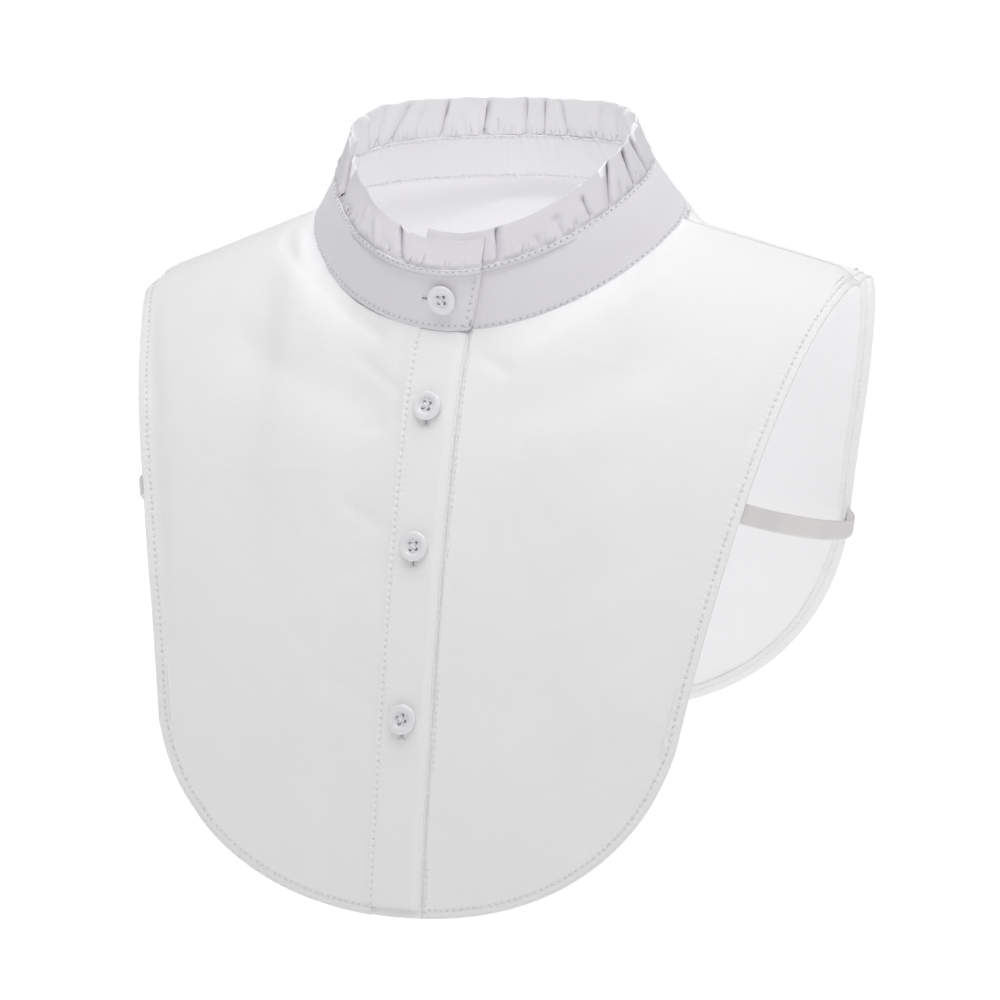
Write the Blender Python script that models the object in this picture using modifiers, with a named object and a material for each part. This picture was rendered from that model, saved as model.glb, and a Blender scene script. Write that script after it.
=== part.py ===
"""Detachable shirt collar: a half shirt of two fronts and a back, with a ruffled stand collar.

It is worn under a jumper and looks like a whole blouse at the neck. The model keeps the form
that it has when worn. The front faces -Y, the wearer's left side is +X and +Z is up. The origin
is the centre of the neck opening, at the height of the neck seam on the shoulders.

Sizes are in millimetres, and to_metres() turns a finished point into metres.
"""

from collections import namedtuple
from math import asin, copysign, cos, pi, radians, sin

import bmesh
import bpy
from mathutils import Matrix, Vector

METRES = 0.001

# Cloth
CLOTH = 1.0
SEAM_GAP = 0.35
LAYER = CLOTH + SEAM_GAP

# Closed curves round the neck. Seen from above each is an ellipse drawn a little to a point at
# the shoulders. It tips down to the front, and its sides stand above its front and back
Ring = namedtuple("Ring", "half_width half_depth y_centre z_centre slope saddle")
NECK_SEAM = Ring(73.5, 57.0, 0.0, 1.0, 0.33, 14.0)
RUFFLE_SEAM = Ring(61.8, 54.0, -4.5, 21.8, 0.29, 12.2)
RUFFLE_RIM = Ring(56.0, 45.0, -4.0, 35.8, 0.39, 13.8)
POINTEDNESS = 1.1

# Shoulders and bib. The hem of a half panel is part of a filled-out ellipse, from the centre up
# to the corner angle, and its edge runs on from there in a shallow bow to the shoulder tip. A panel
# stands off the shoulder seam by its depth at the level DEPTH_Z, and the powers say how soon it
# falls away
SHOULDER_TIP = Vector((143.7, 0.0, -14.0))
DEPTH_Z = -205.0
Bib = namedtuple("Bib", "half_width widest_z hem_z corner_angle bow depth shoulder_power centre_power")
FRONT = Bib(103.5, -138.0, -226.0, radians(76), 3.5, 129.0, 0.47, 0.72)
BACK = Bib(120.0, -86.0, -212.0, radians(71), 6.5, 84.0, 0.47, 0.72)
HEM_ROUNDNESS = 0.92
NECK_SHARE = 0.5
NECK_BLEND_POWER = 3

# Front closure: the wearer's right front laps over the left one
CLOSURE_X = -3.0
PLACKET_HALF = 10.0
UNDER_PLACKET_EXTRA = 3.0
PLACKET_THICK = 1.2
PLACKET_HEM_SHARE = 0.992
LAP_REACH = 22.0
STAND_UNDER_X = -14.0
STAND_END_LOW_X = 7.0
STAND_END_HIGH_X = 13.0
STAND_LIFT = 2 * LAYER
STAND_LIFT_FROM = radians(296)
STAND_LIFT_TO = radians(346)
STAND_FOOT = 0.05
LAPPED_FOOT = 0.11
LAPPED_RIM_DROP = 2.5

# Ruffle: a run of folds repeated round the collar, each with its share of the width, its depth
# and how far it leans over the next one
Fold = namedtuple("Fold", "width depth lean")
FOLD_RUN = (
    Fold(1.00, 2.2, 2.0),
    Fold(0.80, 1.6, 1.3),
    Fold(1.25, 2.4, 2.3),
    Fold(0.85, 1.6, 1.2),
    Fold(1.10, 2.1, -1.8),
    Fold(0.90, 1.7, 1.5),
    Fold(1.30, 2.5, 2.2),
    Fold(0.85, 1.5, -1.0),
    Fold(1.05, 2.0, 1.6),
)
FOLD_RUNS = 4
FOLD_STEPS = 7
RUFFLE_ROWS = 2
ROOT_RISE = 1.1
ROOT_SHARE = 0.2
FOLD_GROWTH = 0.8
PLAIN_REACH = radians(24)
LAP_DEPTH = 0.3

# Buttons
BUTTON_RADIUS = 5.5
BUTTON_THICK = 2.2
BUTTON_RIM = 1.3
BUTTON_DISH = 0.5
BUTTON_EDGE = 0.5
HOLE_RADIUS = 0.75
HOLE_OFFSET = 1.15
BUTTON_SIDES = 20
HOLE_SIDES = 6
STAND_BUTTON_X = -1.5
STAND_BUTTON_RISE = 0.56
FRONT_BUTTON_Z = (-48.0, -96.0, -156.0)

# Elastic straps that join the back to the fronts at the sides
STRAP_WIDTH = 8.0
STRAP_FRONT_Z = -82.0
STRAP_BACK_Z = -120.0
STRAP_TUCK_SHARE = 0.93
STRAP_TUCK_STEPS = 2
STRAP_STEPS = 12
STRAP_LEAD_SHARE = 0.12
STRAP_SAG = 5.0
STRAP_SEAT = 0.6

# Faces along and down each piece
FRONT_GRID = (14, 18)
BACK_GRID = (28, 18)
PLACKET_GRID = (3, 18)
STAND_GRID = (60, 2)


def to_metres(point):
    return point * METRES


def mix(a, b, share):
    return a + (b - a) * share


def smooth(share):
    """0 to 1 with level ends, from a share that may lie outside them."""
    share = min(max(share, 0.0), 1.0)
    return share * share * (3 - 2 * share)


# Neck curves
def on_ring(ring, turn):
    """The point of a ring at an angle from the centre front towards the wearer's left."""
    aside = copysign(abs(sin(turn)) ** POINTEDNESS, sin(turn))
    forward = copysign(abs(cos(turn)) ** POINTEDNESS, cos(turn)) * ring.half_depth
    z = ring.z_centre - ring.slope * forward + ring.saddle * (aside**2 - 0.5)
    return Vector((ring.half_width * aside, ring.y_centre - forward, z))


def turn_at(ring, x):
    """The angle at which the front half of a ring reaches x."""
    aside = x / ring.half_width
    return copysign(asin(abs(aside) ** (1 / POINTEDNESS)), aside)


def wall_up(low, high, turn):
    return (on_ring(high, turn) - on_ring(low, turn)).normalized()


def wall_out(low, high, turn, step=0.01):
    """Away from the neck, square to a wall that stands between two rings."""
    along = on_ring(low, turn + step) - on_ring(low, turn - step)
    return along.cross(wall_up(low, high, turn)).normalized()


# Surfaces: each gives a point for two shares, along the piece and down it
def normal_of(surface, along, down, step=0.01):
    """Square to the surface, taken a step in from its edges."""
    along = min(max(along, step), 1 - step)
    down = min(max(down, step), 1 - step)
    level = surface(along + step, down) - surface(along - step, down)
    fall = surface(along, down + step) - surface(along, down - step)
    return level.cross(fall).normalized()


def moved_out(surface, distance, side):
    """A surface moved along its normal. The distance may depend on the place."""
    amount = distance if callable(distance) else (lambda along, down: distance)

    def shifted(along, down):
        return surface(along, down) + normal_of(surface, along, down) * side * amount(along, down)

    return shifted


def mirrored(surface):
    """A surface on the wearer's right, from one on the left."""

    def other_side(along, down):
        point = surface(along, down)
        return Vector((-point.x, point.y, point.z))

    return other_side


# Bib panels, whose columns run from the neck seam or the shoulder seam down to the hem
def top_point(across, x_in, front):
    if across <= NECK_SHARE:
        turn = mix(turn_at(NECK_SEAM, x_in), pi / 2, across / NECK_SHARE)
        return on_ring(NECK_SEAM, turn if front else pi - turn)
    return on_ring(NECK_SEAM, pi / 2).lerp(SHOULDER_TIP, (across - NECK_SHARE) / (1 - NECK_SHARE))


def hem_point(across, x_in, bib):
    angle = mix(asin((x_in / bib.half_width) ** (1 / HEM_ROUNDNESS)), bib.corner_angle, across)
    aside, drop = sin(angle) ** HEM_ROUNDNESS, cos(angle) ** HEM_ROUNDNESS
    return bib.half_width * aside, mix(bib.widest_z, bib.hem_z, drop)


def bib_point(across, down, x_in, front):
    """A point of the worn panel's inner face, on the wearer's left half."""
    bib = FRONT if front else BACK
    top = top_point(across, x_in, front)
    hem_x, hem_z = hem_point(across, x_in, bib)
    x = mix(top.x, hem_x, down) + across**2 * bib.bow * sin(pi * down)
    z = mix(top.z, hem_z, down**2)
    fall = (top.z - z) / (top.z - DEPTH_Z)
    level = max(1 - fall, 0.0) ** NECK_BLEND_POWER
    neck = NECK_SEAM.half_depth
    below_shoulder = bib.depth * fall**bib.shoulder_power
    below_neck = neck * (1 - level) + (bib.depth - neck) * fall**bib.centre_power
    off_seam = mix(below_neck, below_shoulder, smooth(across / NECK_SHARE))
    off_seam += abs(top.y) * level + SEAM_GAP / 2
    return Vector((x, -off_seam if front else off_seam, z))


def front_half(x_in):
    return lambda across, down: bib_point(across, down, x_in, True)


def back_half(across, down):
    return bib_point(across, down, 0.0, False)


def back_whole(along, down):
    """The back in one piece, from the wearer's right to the left."""
    half = back_half(abs(2 * along - 1), down)
    return Vector((half.x if along > 0.5 else -half.x, half.y, half.z))


def closure_strip(x_from, x_to, hem_share=1.0):
    """The front beside the closure, between two upright lines."""

    def strip(along, down):
        x = mix(x_from, x_to, along)
        point = bib_point(0.0, down * hem_share, abs(x), True)
        return Vector((x, point.y, point.z))

    return strip


# Stand collar and ruffle
STAND_START = turn_at(NECK_SEAM, STAND_UNDER_X)
STAND_END_LOW = turn_at(NECK_SEAM, STAND_END_LOW_X) + 2 * pi
STAND_END_HIGH = turn_at(RUFFLE_SEAM, STAND_END_HIGH_X) + 2 * pi


def stand_turn(along, rise):
    """The angle at a share of the way round. The upper end's edge leans out towards its top."""
    return mix(STAND_START, mix(STAND_END_LOW, STAND_END_HIGH, rise), along)


def lap_share(turn):
    """0 on most of the stand, and 1 on the end that laps over the other."""
    return smooth((turn - STAND_LIFT_FROM) / (STAND_LIFT_TO - STAND_LIFT_FROM))


def stand_point(turn, rise, inset=0.0):
    """A point of the stand, moved in from its outer face by inset."""
    point = on_ring(NECK_SEAM, turn).lerp(on_ring(RUFFLE_SEAM, turn), rise)
    return point + wall_out(NECK_SEAM, RUFFLE_SEAM, turn) * (STAND_LIFT * lap_share(turn) - inset)


def stand_layer(inset):
    def wall(along, down):
        foot = mix(STAND_FOOT, LAPPED_FOOT, lap_share(stand_turn(along, 0.0)))
        rise = mix(1.0, foot, down)
        return stand_point(stand_turn(along, rise), rise, inset)

    return wall


def fold_stations():
    """The columns of the ruffle: the share of the way along, the swing outwards and the lean."""
    folds = FOLD_RUN * FOLD_RUNS
    total = sum(fold.width for fold in folds)
    stations = []
    start = 0.0
    for fold in folds:
        for step in range(FOLD_STEPS):
            part = step / FOLD_STEPS
            swing = cos(2 * pi * part)
            stations.append(((start + fold.width * part) / total, fold.depth * swing, fold.lean * swing))
        start += fold.width
    stations.append((1.0, folds[0].depth, folds[0].lean))
    return stations


def ruffle_point(station, rise):
    """A point of the middle of the ruffle's cloth, which rises from between the stand's layers."""
    along, swing, lean = station
    turn = stand_turn(along, 1.0)
    low = stand_point(turn, 1.0, CLOTH + SEAM_GAP / 2)
    low += wall_up(NECK_SEAM, RUFFLE_SEAM, turn) * ROOT_RISE
    stand_out = wall_out(NECK_SEAM, RUFFLE_SEAM, turn)
    high = on_ring(RUFFLE_RIM, turn) + stand_out * STAND_LIFT * lap_share(turn)
    high.z -= LAPPED_RIM_DROP * lap_share(turn)
    end_distance = min(turn - STAND_START, STAND_END_HIGH - turn)
    free = smooth(end_distance / PLAIN_REACH)
    size = mix(ROOT_SHARE, 1.0, rise**FOLD_GROWTH)
    up = (high - low).normalized()
    out = wall_out(RUFFLE_SEAM, RUFFLE_RIM, turn)
    point = low.lerp(high, rise)
    point += out * swing * size * mix(LAP_DEPTH, 1.0, free)
    return point + up.cross(out) * lean * size * free


# Solids
def named_material(name, colour, roughness):
    material = bpy.data.materials.new(name)
    material.use_nodes = True
    shader = material.node_tree.nodes["Principled BSDF"]
    shader.inputs["Base Color"].default_value = (*colour, 1.0)
    shader.inputs["Roughness"].default_value = roughness
    shader.inputs["Metallic"].default_value = 0.0
    return material


def add_object(name, mesh, material, collection):
    obj = bpy.data.objects.new(name, mesh)
    mesh.materials.append(material)
    collection.objects.link(obj)
    return obj


def sheet_mesh(name, columns, rows, place):
    """A grid whose point in each column and row is put where place says."""
    bm = bmesh.new()
    bmesh.ops.create_grid(bm, x_segments=columns, y_segments=rows, size=1.0)
    for vert in bm.verts:
        column = round((vert.co.x + 1) / 2 * columns)
        row = round((vert.co.y + 1) / 2 * rows)
        vert.co = to_metres(place(column, row))
    mesh = bpy.data.meshes.new(name)
    bm.to_mesh(mesh)
    bm.free()
    mesh.shade_smooth()
    return mesh


def add_wall(obj, thickness, offset=-1.0):
    """Gives an open sheet its thickness. At -1 all of it lies behind the modelled face."""
    wall = obj.modifiers.new("wall", "SOLIDIFY")
    wall.thickness = thickness * METRES
    wall.offset = offset
    wall.use_even_offset = True


def cloth_piece(name, surface, grid, outside, material, collection, thickness=CLOTH):
    """A piece of cloth whose outer face is the surface. outside is 1 where the way along and the
    way down turn outwards, and -1 where they turn inwards.
    """
    columns, rows = grid
    mesh = sheet_mesh(name, columns, rows, lambda column, row: surface(column / columns, row / rows))
    if outside < 0:
        mesh.flip_normals()
    obj = add_object(name, mesh, material, collection)
    add_wall(obj, thickness)
    return obj


def ruffle_piece(name, material, collection):
    stations = fold_stations()

    def place(column, row):
        return ruffle_point(stations[column], row / RUFFLE_ROWS)

    mesh = sheet_mesh(name, len(stations) - 1, RUFFLE_ROWS, place)
    obj = add_object(name, mesh, material, collection)
    add_wall(obj, CLOTH, offset=0.0)
    return obj


def button_blank(material, collection):
    """A disc with a raised rim and a dished middle, turned about its axis."""
    half = BUTTON_THICK / 2
    rim_in = BUTTON_RADIUS - BUTTON_RIM
    profile = (
        (0.0, half - BUTTON_DISH),
        (rim_in - BUTTON_DISH, half - BUTTON_DISH),
        (rim_in, half),
        (BUTTON_RADIUS - BUTTON_EDGE, half),
        (BUTTON_RADIUS, half - BUTTON_EDGE),
        (BUTTON_RADIUS, BUTTON_EDGE - half),
        (BUTTON_RADIUS - BUTTON_EDGE, -half),
        (0.0, -half),
    )
    bm = bmesh.new()
    verts = [bm.verts.new(to_metres(Vector((x, 0, z)))) for x, z in profile]
    for pair in zip(verts, verts[1:]):
        bm.edges.new(pair)
    mesh = bpy.data.meshes.new("button_profile")
    bm.to_mesh(mesh)
    bm.free()
    blank = add_object("button_blank", mesh, material, collection)
    screw = blank.modifiers.new("turned", "SCREW")
    screw.steps = BUTTON_SIDES
    screw.render_steps = BUTTON_SIDES
    screw.use_merge_vertices = True
    screw.merge_threshold = 0.00001
    return blank


def hole_cutters(collection):
    """Four rods, at the corners of a square, that cut a button's thread holes."""
    bm = bmesh.new()
    for x_side, y_side in ((1, 1), (1, -1), (-1, 1), (-1, -1)):
        bmesh.ops.create_cone(
            bm,
            cap_ends=True,
            segments=HOLE_SIDES,
            radius1=HOLE_RADIUS * METRES,
            radius2=HOLE_RADIUS * METRES,
            depth=2 * BUTTON_THICK * METRES,
            matrix=Matrix.Translation(to_metres(Vector((x_side, y_side, 0)) * HOLE_OFFSET)),
        )
    mesh = bpy.data.meshes.new("thread_holes")
    bm.to_mesh(mesh)
    bm.free()
    cutter = bpy.data.objects.new("thread_holes", mesh)
    cutter.hide_render = True
    cutter.display_type = "WIRE"
    collection.objects.link(cutter)
    return cutter


def button_mesh(material, collection):
    """The finished button, whose mesh all the buttons share."""
    blank = button_blank(material, collection)
    holes = blank.modifiers.new("holes", "BOOLEAN")
    holes.operation = "DIFFERENCE"
    holes.object = hole_cutters(collection)
    bpy.context.view_layer.update()
    graph = bpy.context.evaluated_depsgraph_get()
    mesh = bpy.data.meshes.new_from_object(blank.evaluated_get(graph))
    mesh.name = "button"
    bpy.data.objects.remove(blank)
    mesh.set_sharp_from_angle(angle=radians(35))
    return mesh


def place_button(name, mesh, seat, out, collection):
    """A button that lies flat, a seam gap off its seat."""
    button = bpy.data.objects.new(name, mesh)
    collection.objects.link(button)
    side = Vector((0, 0, 1)).cross(out).normalized()
    turn = Matrix((side, out.cross(side), out)).transposed().to_4x4()
    middle = seat + out * (SEAM_GAP + BUTTON_THICK / 2)
    button.matrix_world = Matrix.Translation(to_metres(middle)) @ turn
    return button


def down_to(surface, along, z):
    """The share of the way down at which a column reaches the height z."""
    low, high = 0.0, 1.0
    for _ in range(30):
        middle = (low + high) / 2
        if surface(along, middle).z > z:
            low = middle
        else:
            high = middle
    return low


def level_way(start, end):
    return Vector((end.x - start.x, end.y - start.y, 0.0)).normalized()


def strap_stations(front, back):
    """The elastic's middle line and its upward direction, from under one edge to the other.

    It lies inside the two panels at its ends, and sags between their edges.
    """
    ends = []
    for panel, z in ((front, STRAP_FRONT_Z), (back, STRAP_BACK_Z)):
        down = down_to(panel, 1.0, z)
        up = (panel(1.0, down - 0.02) - panel(1.0, down + 0.02)).normalized()
        tuck = [mix(STRAP_TUCK_SHARE, 1.0, step / STRAP_TUCK_STEPS) for step in range(STRAP_TUCK_STEPS + 1)]
        ends.append(([panel(across, down) for across in tuck], up))
    (front_line, front_up), (back_line, back_up) = ends
    start, finish = front_line[-1], back_line[-1]
    reach = (finish - start).length * STRAP_LEAD_SHARE
    lead_in = start + level_way(front_line[-2], start) * reach
    lead_out = finish + level_way(back_line[-2], finish) * reach
    stations = [(point, front_up) for point in front_line]
    for step in range(1, STRAP_STEPS):
        t = step / STRAP_STEPS
        point = start * (1 - t) ** 3 + lead_in * 3 * t * (1 - t) ** 2
        point += lead_out * 3 * t**2 * (1 - t) + finish * t**3
        point.z -= STRAP_SAG * 4 * t * (1 - t)
        stations.append((point, front_up.lerp(back_up, smooth(t)).normalized()))
    stations += [(point, back_up) for point in reversed(back_line)]
    return stations


def strap_piece(name, stations, side, material, collection):
    """A band of elastic on the wearer's left for a side of 1, and on the right for -1."""

    def place(column, row):
        middle, up = stations[column]
        point = middle + up * STRAP_WIDTH * (0.5 - row)
        return Vector((point.x * side, point.y, point.z))

    mesh = sheet_mesh(name, len(stations) - 1, 1, place)
    if side > 0:
        mesh.flip_normals()
    obj = add_object(name, mesh, material, collection)
    add_wall(obj, CLOTH)
    return obj


def build_fronts(cotton, parts):
    left_in = CLOSURE_X + PLACKET_HALF + UNDER_PLACKET_EXTRA + SEAM_GAP
    right_in = PLACKET_HALF + SEAM_GAP - CLOSURE_X

    def right_lift(across, down):
        """The right front rises beside the closure, where it laps over the left one."""
        from_closure = across / NECK_SHARE * NECK_SEAM.half_width
        return CLOTH + LAYER * (1 - smooth(from_closure / LAP_REACH))

    left = moved_out(front_half(left_in), CLOTH, -1)
    right = mirrored(moved_out(front_half(right_in), right_lift, -1))
    cloth_piece("front_left", left, FRONT_GRID, -1, cotton, parts)
    cloth_piece("front_right", right, FRONT_GRID, 1, cotton, parts)


def build_plackets(cotton, parts):
    """The strips down the closure. Returns the outer face of the upper one."""
    edge_right = CLOSURE_X - PLACKET_HALF
    edge_left = CLOSURE_X + PLACKET_HALF
    under = moved_out(closure_strip(edge_right, edge_left + UNDER_PLACKET_EXTRA), CLOTH, -1)
    cloth_piece("placket_left", under, PLACKET_GRID, -1, cotton, parts)
    strip = closure_strip(edge_right, edge_left, PLACKET_HEM_SHARE)
    over = moved_out(strip, LAYER + PLACKET_THICK, -1)
    cloth_piece("placket_right", over, PLACKET_GRID, -1, cotton, parts, PLACKET_THICK)
    return over


def build_collar(cotton, parts):
    cloth_piece("stand_outer", stand_layer(0.0), STAND_GRID, -1, cotton, parts)
    cloth_piece("stand_inner", stand_layer(LAYER), STAND_GRID, -1, cotton, parts)
    ruffle_piece("ruffle", cotton, parts)


def build_buttons(placket, plastic, parts, cutters):
    mesh = button_mesh(plastic, cutters)
    turn = turn_at(NECK_SEAM, STAND_BUTTON_X) + 2 * pi
    seat = stand_point(turn, STAND_BUTTON_RISE)
    place_button("button_1", mesh, seat, wall_out(NECK_SEAM, RUFFLE_SEAM, turn), parts)
    for number, z in enumerate(FRONT_BUTTON_Z, start=2):
        down = down_to(placket, 0.5, z)
        out = -normal_of(placket, 0.5, down)
        place_button(f"button_{number}", mesh, placket(0.5, down), out, parts)


def build_straps(elastic, parts):
    left_in = CLOSURE_X + PLACKET_HALF + UNDER_PLACKET_EXTRA + SEAM_GAP
    front = moved_out(front_half(left_in), STRAP_SEAT, 1)
    back = moved_out(back_half, STRAP_SEAT, -1)
    stations = strap_stations(front, back)
    strap_piece("elastic_left", stations, 1, elastic, parts)
    strap_piece("elastic_right", stations, -1, elastic, parts)


def build():
    for obj in list(bpy.data.objects):
        bpy.data.objects.remove(obj)
    parts = bpy.data.collections.new("detachable_shirt_collar")
    cutters = bpy.data.collections.new("cutters")
    for collection in (parts, cutters):
        bpy.context.scene.collection.children.link(collection)
    cotton = named_material("white_cotton", (0.90, 0.90, 0.92), 0.85)
    plastic = named_material("white_button", (0.92, 0.92, 0.93), 0.35)
    elastic = named_material("white_elastic", (0.86, 0.85, 0.84), 0.9)

    build_fronts(cotton, parts)
    cloth_piece("back", moved_out(back_whole, CLOTH, 1), BACK_GRID, 1, cotton, parts)
    placket = build_plackets(cotton, parts)
    build_collar(cotton, parts)
    build_buttons(placket, plastic, parts, cutters)
    build_straps(elastic, parts)


build()
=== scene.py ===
# %% [markdown]
# A detachable shirt collar is the part of a blouse that shows at the neck of a jumper: two fronts, a
# back and a stand collar with a gathered ruffle, with no sleeves and no waist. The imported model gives
# every piece its place and size. This lesson dresses it as real cotton: thin cloth with hems, creases,
# stitches, buttonholes and buttons, one piece at a time.

# %% Load the frame
import random
from bisect import bisect
from collections import namedtuple
from math import asin, copysign, cos, exp, pi, radians, sin

import bmesh
import bpy
from mathutils import Matrix, Vector, noise
from mathutils.bvhtree import BVHTree
from mathutils.kdtree import KDTree


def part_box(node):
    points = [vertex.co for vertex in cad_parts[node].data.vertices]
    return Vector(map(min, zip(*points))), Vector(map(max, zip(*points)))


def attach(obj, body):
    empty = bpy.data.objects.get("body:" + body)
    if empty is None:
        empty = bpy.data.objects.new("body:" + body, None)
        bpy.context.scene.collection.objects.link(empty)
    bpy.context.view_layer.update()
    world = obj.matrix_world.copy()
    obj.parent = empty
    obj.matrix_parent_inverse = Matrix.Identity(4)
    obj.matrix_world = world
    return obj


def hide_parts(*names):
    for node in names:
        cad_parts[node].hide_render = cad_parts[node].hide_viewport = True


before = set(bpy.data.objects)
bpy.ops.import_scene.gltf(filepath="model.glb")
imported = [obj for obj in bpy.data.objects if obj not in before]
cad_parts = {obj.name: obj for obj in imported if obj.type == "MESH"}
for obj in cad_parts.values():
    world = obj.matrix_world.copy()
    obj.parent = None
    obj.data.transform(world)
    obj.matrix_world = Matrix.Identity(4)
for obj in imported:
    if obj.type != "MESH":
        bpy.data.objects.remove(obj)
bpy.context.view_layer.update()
BODY = "root"
print("nodes in the frame:", ", ".join(sorted(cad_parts)))

# %% [markdown]
# A garment is cut and sewn in millimetres, so every surface below works in millimetres and only the
# finished mesh is scaled to metres. Three small sums come back all the time: mixing two values, a
# soft step and a soft bell.

# %% Units and small sums
MM = 0.001


def mix(a, b, share):
    return a + (b - a) * share


def smooth(share):
    """0 to 1 with level ends, from a share that may lie outside them."""
    share = min(max(share, 0.0), 1.0)
    return share * share * (3 - 2 * share)


def bell(distance, width):
    """1 at no distance, falling softly to nothing at about two widths."""
    return exp(-((distance / width) ** 2))


def ripple(along, across, wave, seed):
    """A smooth uneven wave between about -1 and 1, the same on every run."""
    return noise.noise(Vector((along / wave, across / wave, seed))) * 1.6


print("a stitch of 2.5 mm is", 2.5 * MM, "m")

# %% [markdown]
# The camera stands where the photographer stood: a little to the wearer's left of the front, a little
# above, with the picture turned by two degrees. A long lens from nearly two metres keeps the sides of
# the neck from spreading. The lens is worked out from the scale of the picture, 2.6 pixels to 1 mm.

# %% Camera
VIEW_AZIMUTH = radians(20)
VIEW_HEIGHT = radians(14.4)
VIEW_ROLL = radians(2.34)
VIEW_DISTANCE = 1876.0
VIEW_TARGET = Vector((-4.3, 0.0, -103.1))
PICTURE_PX = 1000
PX_PER_MM = 2.6
SENSOR = 36.0


def add_camera():
    towards = Vector((sin(VIEW_AZIMUTH), -cos(VIEW_AZIMUTH), 0)) * cos(VIEW_HEIGHT)
    towards.z = sin(VIEW_HEIGHT)
    level = Vector((cos(VIEW_AZIMUTH), sin(VIEW_AZIMUTH), 0))
    upright = towards.cross(level)
    right = level * cos(VIEW_ROLL) - upright * sin(VIEW_ROLL)
    up = level * sin(VIEW_ROLL) + upright * cos(VIEW_ROLL)
    data = bpy.data.cameras.new("camera")
    data.sensor_width = SENSOR
    data.lens = SENSOR * PX_PER_MM * VIEW_DISTANCE / PICTURE_PX
    camera = bpy.data.objects.new("camera", data)
    bpy.context.scene.collection.objects.link(camera)
    place = (VIEW_TARGET + towards * VIEW_DISTANCE) * MM
    camera.matrix_world = Matrix.Translation(place) @ Matrix((right, up, towards)).transposed().to_4x4()
    bpy.context.scene.camera = camera
    return camera


print("lens", round(add_camera().data.lens, 1), "mm")

# %% [markdown]
# Cycles builds a material from a graph of nodes. Written out node by node, such a graph hides what it
# does, so a small class wraps a socket and lets sums on it be written as sums, and one method adds
# every other kind of node.

# %% A class that writes shader sums
class Value:
    """A wire of the node graph that carries a number, a vector or a colour."""

    def __init__(self, finish, socket):
        self.finish = finish
        self.socket = socket

    def maths(self, operation, first, second=0.0):
        return self.finish.node("Math", {"operation": operation}, {0: first, 1: second})

    def __add__(self, other):
        return self.maths("ADD", self, other)

    def __radd__(self, other):
        return self.maths("ADD", other, self)

    def __sub__(self, other):
        return self.maths("SUBTRACT", self, other)

    def __rsub__(self, other):
        return self.maths("SUBTRACT", other, self)

    def __mul__(self, other):
        return self.maths("MULTIPLY", self, other)

    def __rmul__(self, other):
        return self.maths("MULTIPLY", other, self)

    def sine(self):
        return self.maths("SINE", self)

    def size(self):
        return self.maths("ABSOLUTE", self)


class Finish:
    """A material under construction, on top of its Principled shader."""

    def __init__(self, name):
        self.material = bpy.data.materials.new(name)
        self.material.use_nodes = True
        self.tree = self.material.node_tree
        self.shader = self.tree.nodes["Principled BSDF"]

    def feed(self, socket, value):
        if isinstance(value, Value):
            self.tree.links.new(value.socket, socket)
        else:
            socket.default_value = value

    def node(self, kind, settings=None, sockets=None, output=0):
        made = self.tree.nodes.new("ShaderNode" + kind)
        for name, value in (settings or {}).items():
            setattr(made, name, value)
        for name, value in (sockets or {}).items():
            self.feed(made.inputs[name], value)
        return Value(self, made.outputs[output])

    def surface(self, **inputs):
        for name, value in inputs.items():
            self.feed(self.shader.inputs[name.replace("_", " ")], value)

    def places(self, uv_map):
        """The two coordinates of a named map, which are metres on the cloth."""
        point = self.node("UVMap", {"uv_map": uv_map})
        return [self.node("SeparateXYZ", None, {0: point}, axis) for axis in (0, 1)]

    def grain(self, scale, detail=2.0, where=None):
        """Noise between 0 and 1. Without a place it fills the object's own space."""
        if where is None:
            where = self.node("TexCoord", output="Object")
        return self.node("TexNoise", None, {"Vector": where, "Scale": scale, "Detail": detail})

    def blend(self, share, first, second):
        """A colour between two colours."""
        first, second = (c if isinstance(c, Value) else (*c, 1.0) for c in (first, second))
        return self.node("Mix", {"data_type": "RGBA"}, {0: share, 6: first, 7: second}, 2)

    def fade(self, value, start, end):
        """1 up to a start and 0 from an end, with a soft step between them."""
        sockets = {0: value, 1: start, 2: end, 3: 1.0, 4: 0.0}
        return self.node("MapRange", {"interpolation_type": "SMOOTHSTEP"}, sockets)

    def relief(self, height_mm, strength=1.0):
        """A bump from a height in millimetres."""
        sockets = {"Height": height_mm, "Distance": MM, "Strength": strength}
        return self.node("Bump", None, sockets)


print("shader helpers ready")

# %% [markdown]
# The cloth is cotton poplin, a plain weave of fine yarn. Up close it has rows of tiny bumps where the
# yarns cross, thicker yarns here and there, and a faint crumple. A soft sheen from the fibre ends
# lightens it at grazing angles. Along the hems the stitches pull the cloth into a shallow groove.
# One function makes it for every piece. The stand's outer layer and the ruffle's outer ply get darker
# copies of the white as painted shade, and the back, the stand's inner layer and the ruffle's inner ply
# get lighter ones as painted light.

# %% Cotton
YARN_MM = 0.28
WEAVE_RELIEF = 0.008
SLUB_RELIEF = 0.03
CRUMPLE_RELIEF = 0.12
STITCH_PITCH = 2.6
STITCH_LENGTH = 2.1
GROOVE_HALF = 0.9
GROOVE_RELIEF = 0.14
PUCKER_REACH = 4.0
PUCKER_RELIEF = 0.06
NEEDLE_REACH = 0.5
NEEDLE_RELIEF = 0.2
# Painted shade: the dark grey that the needle holes along a seam are coloured, by as much as each cloth's holes share.
NEEDLE_HOLE_PAINTED_SHADE = (0.42, 0.41, 0.44)
RUFFLE_LIT_PLY_FROM = 20 * MM


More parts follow.
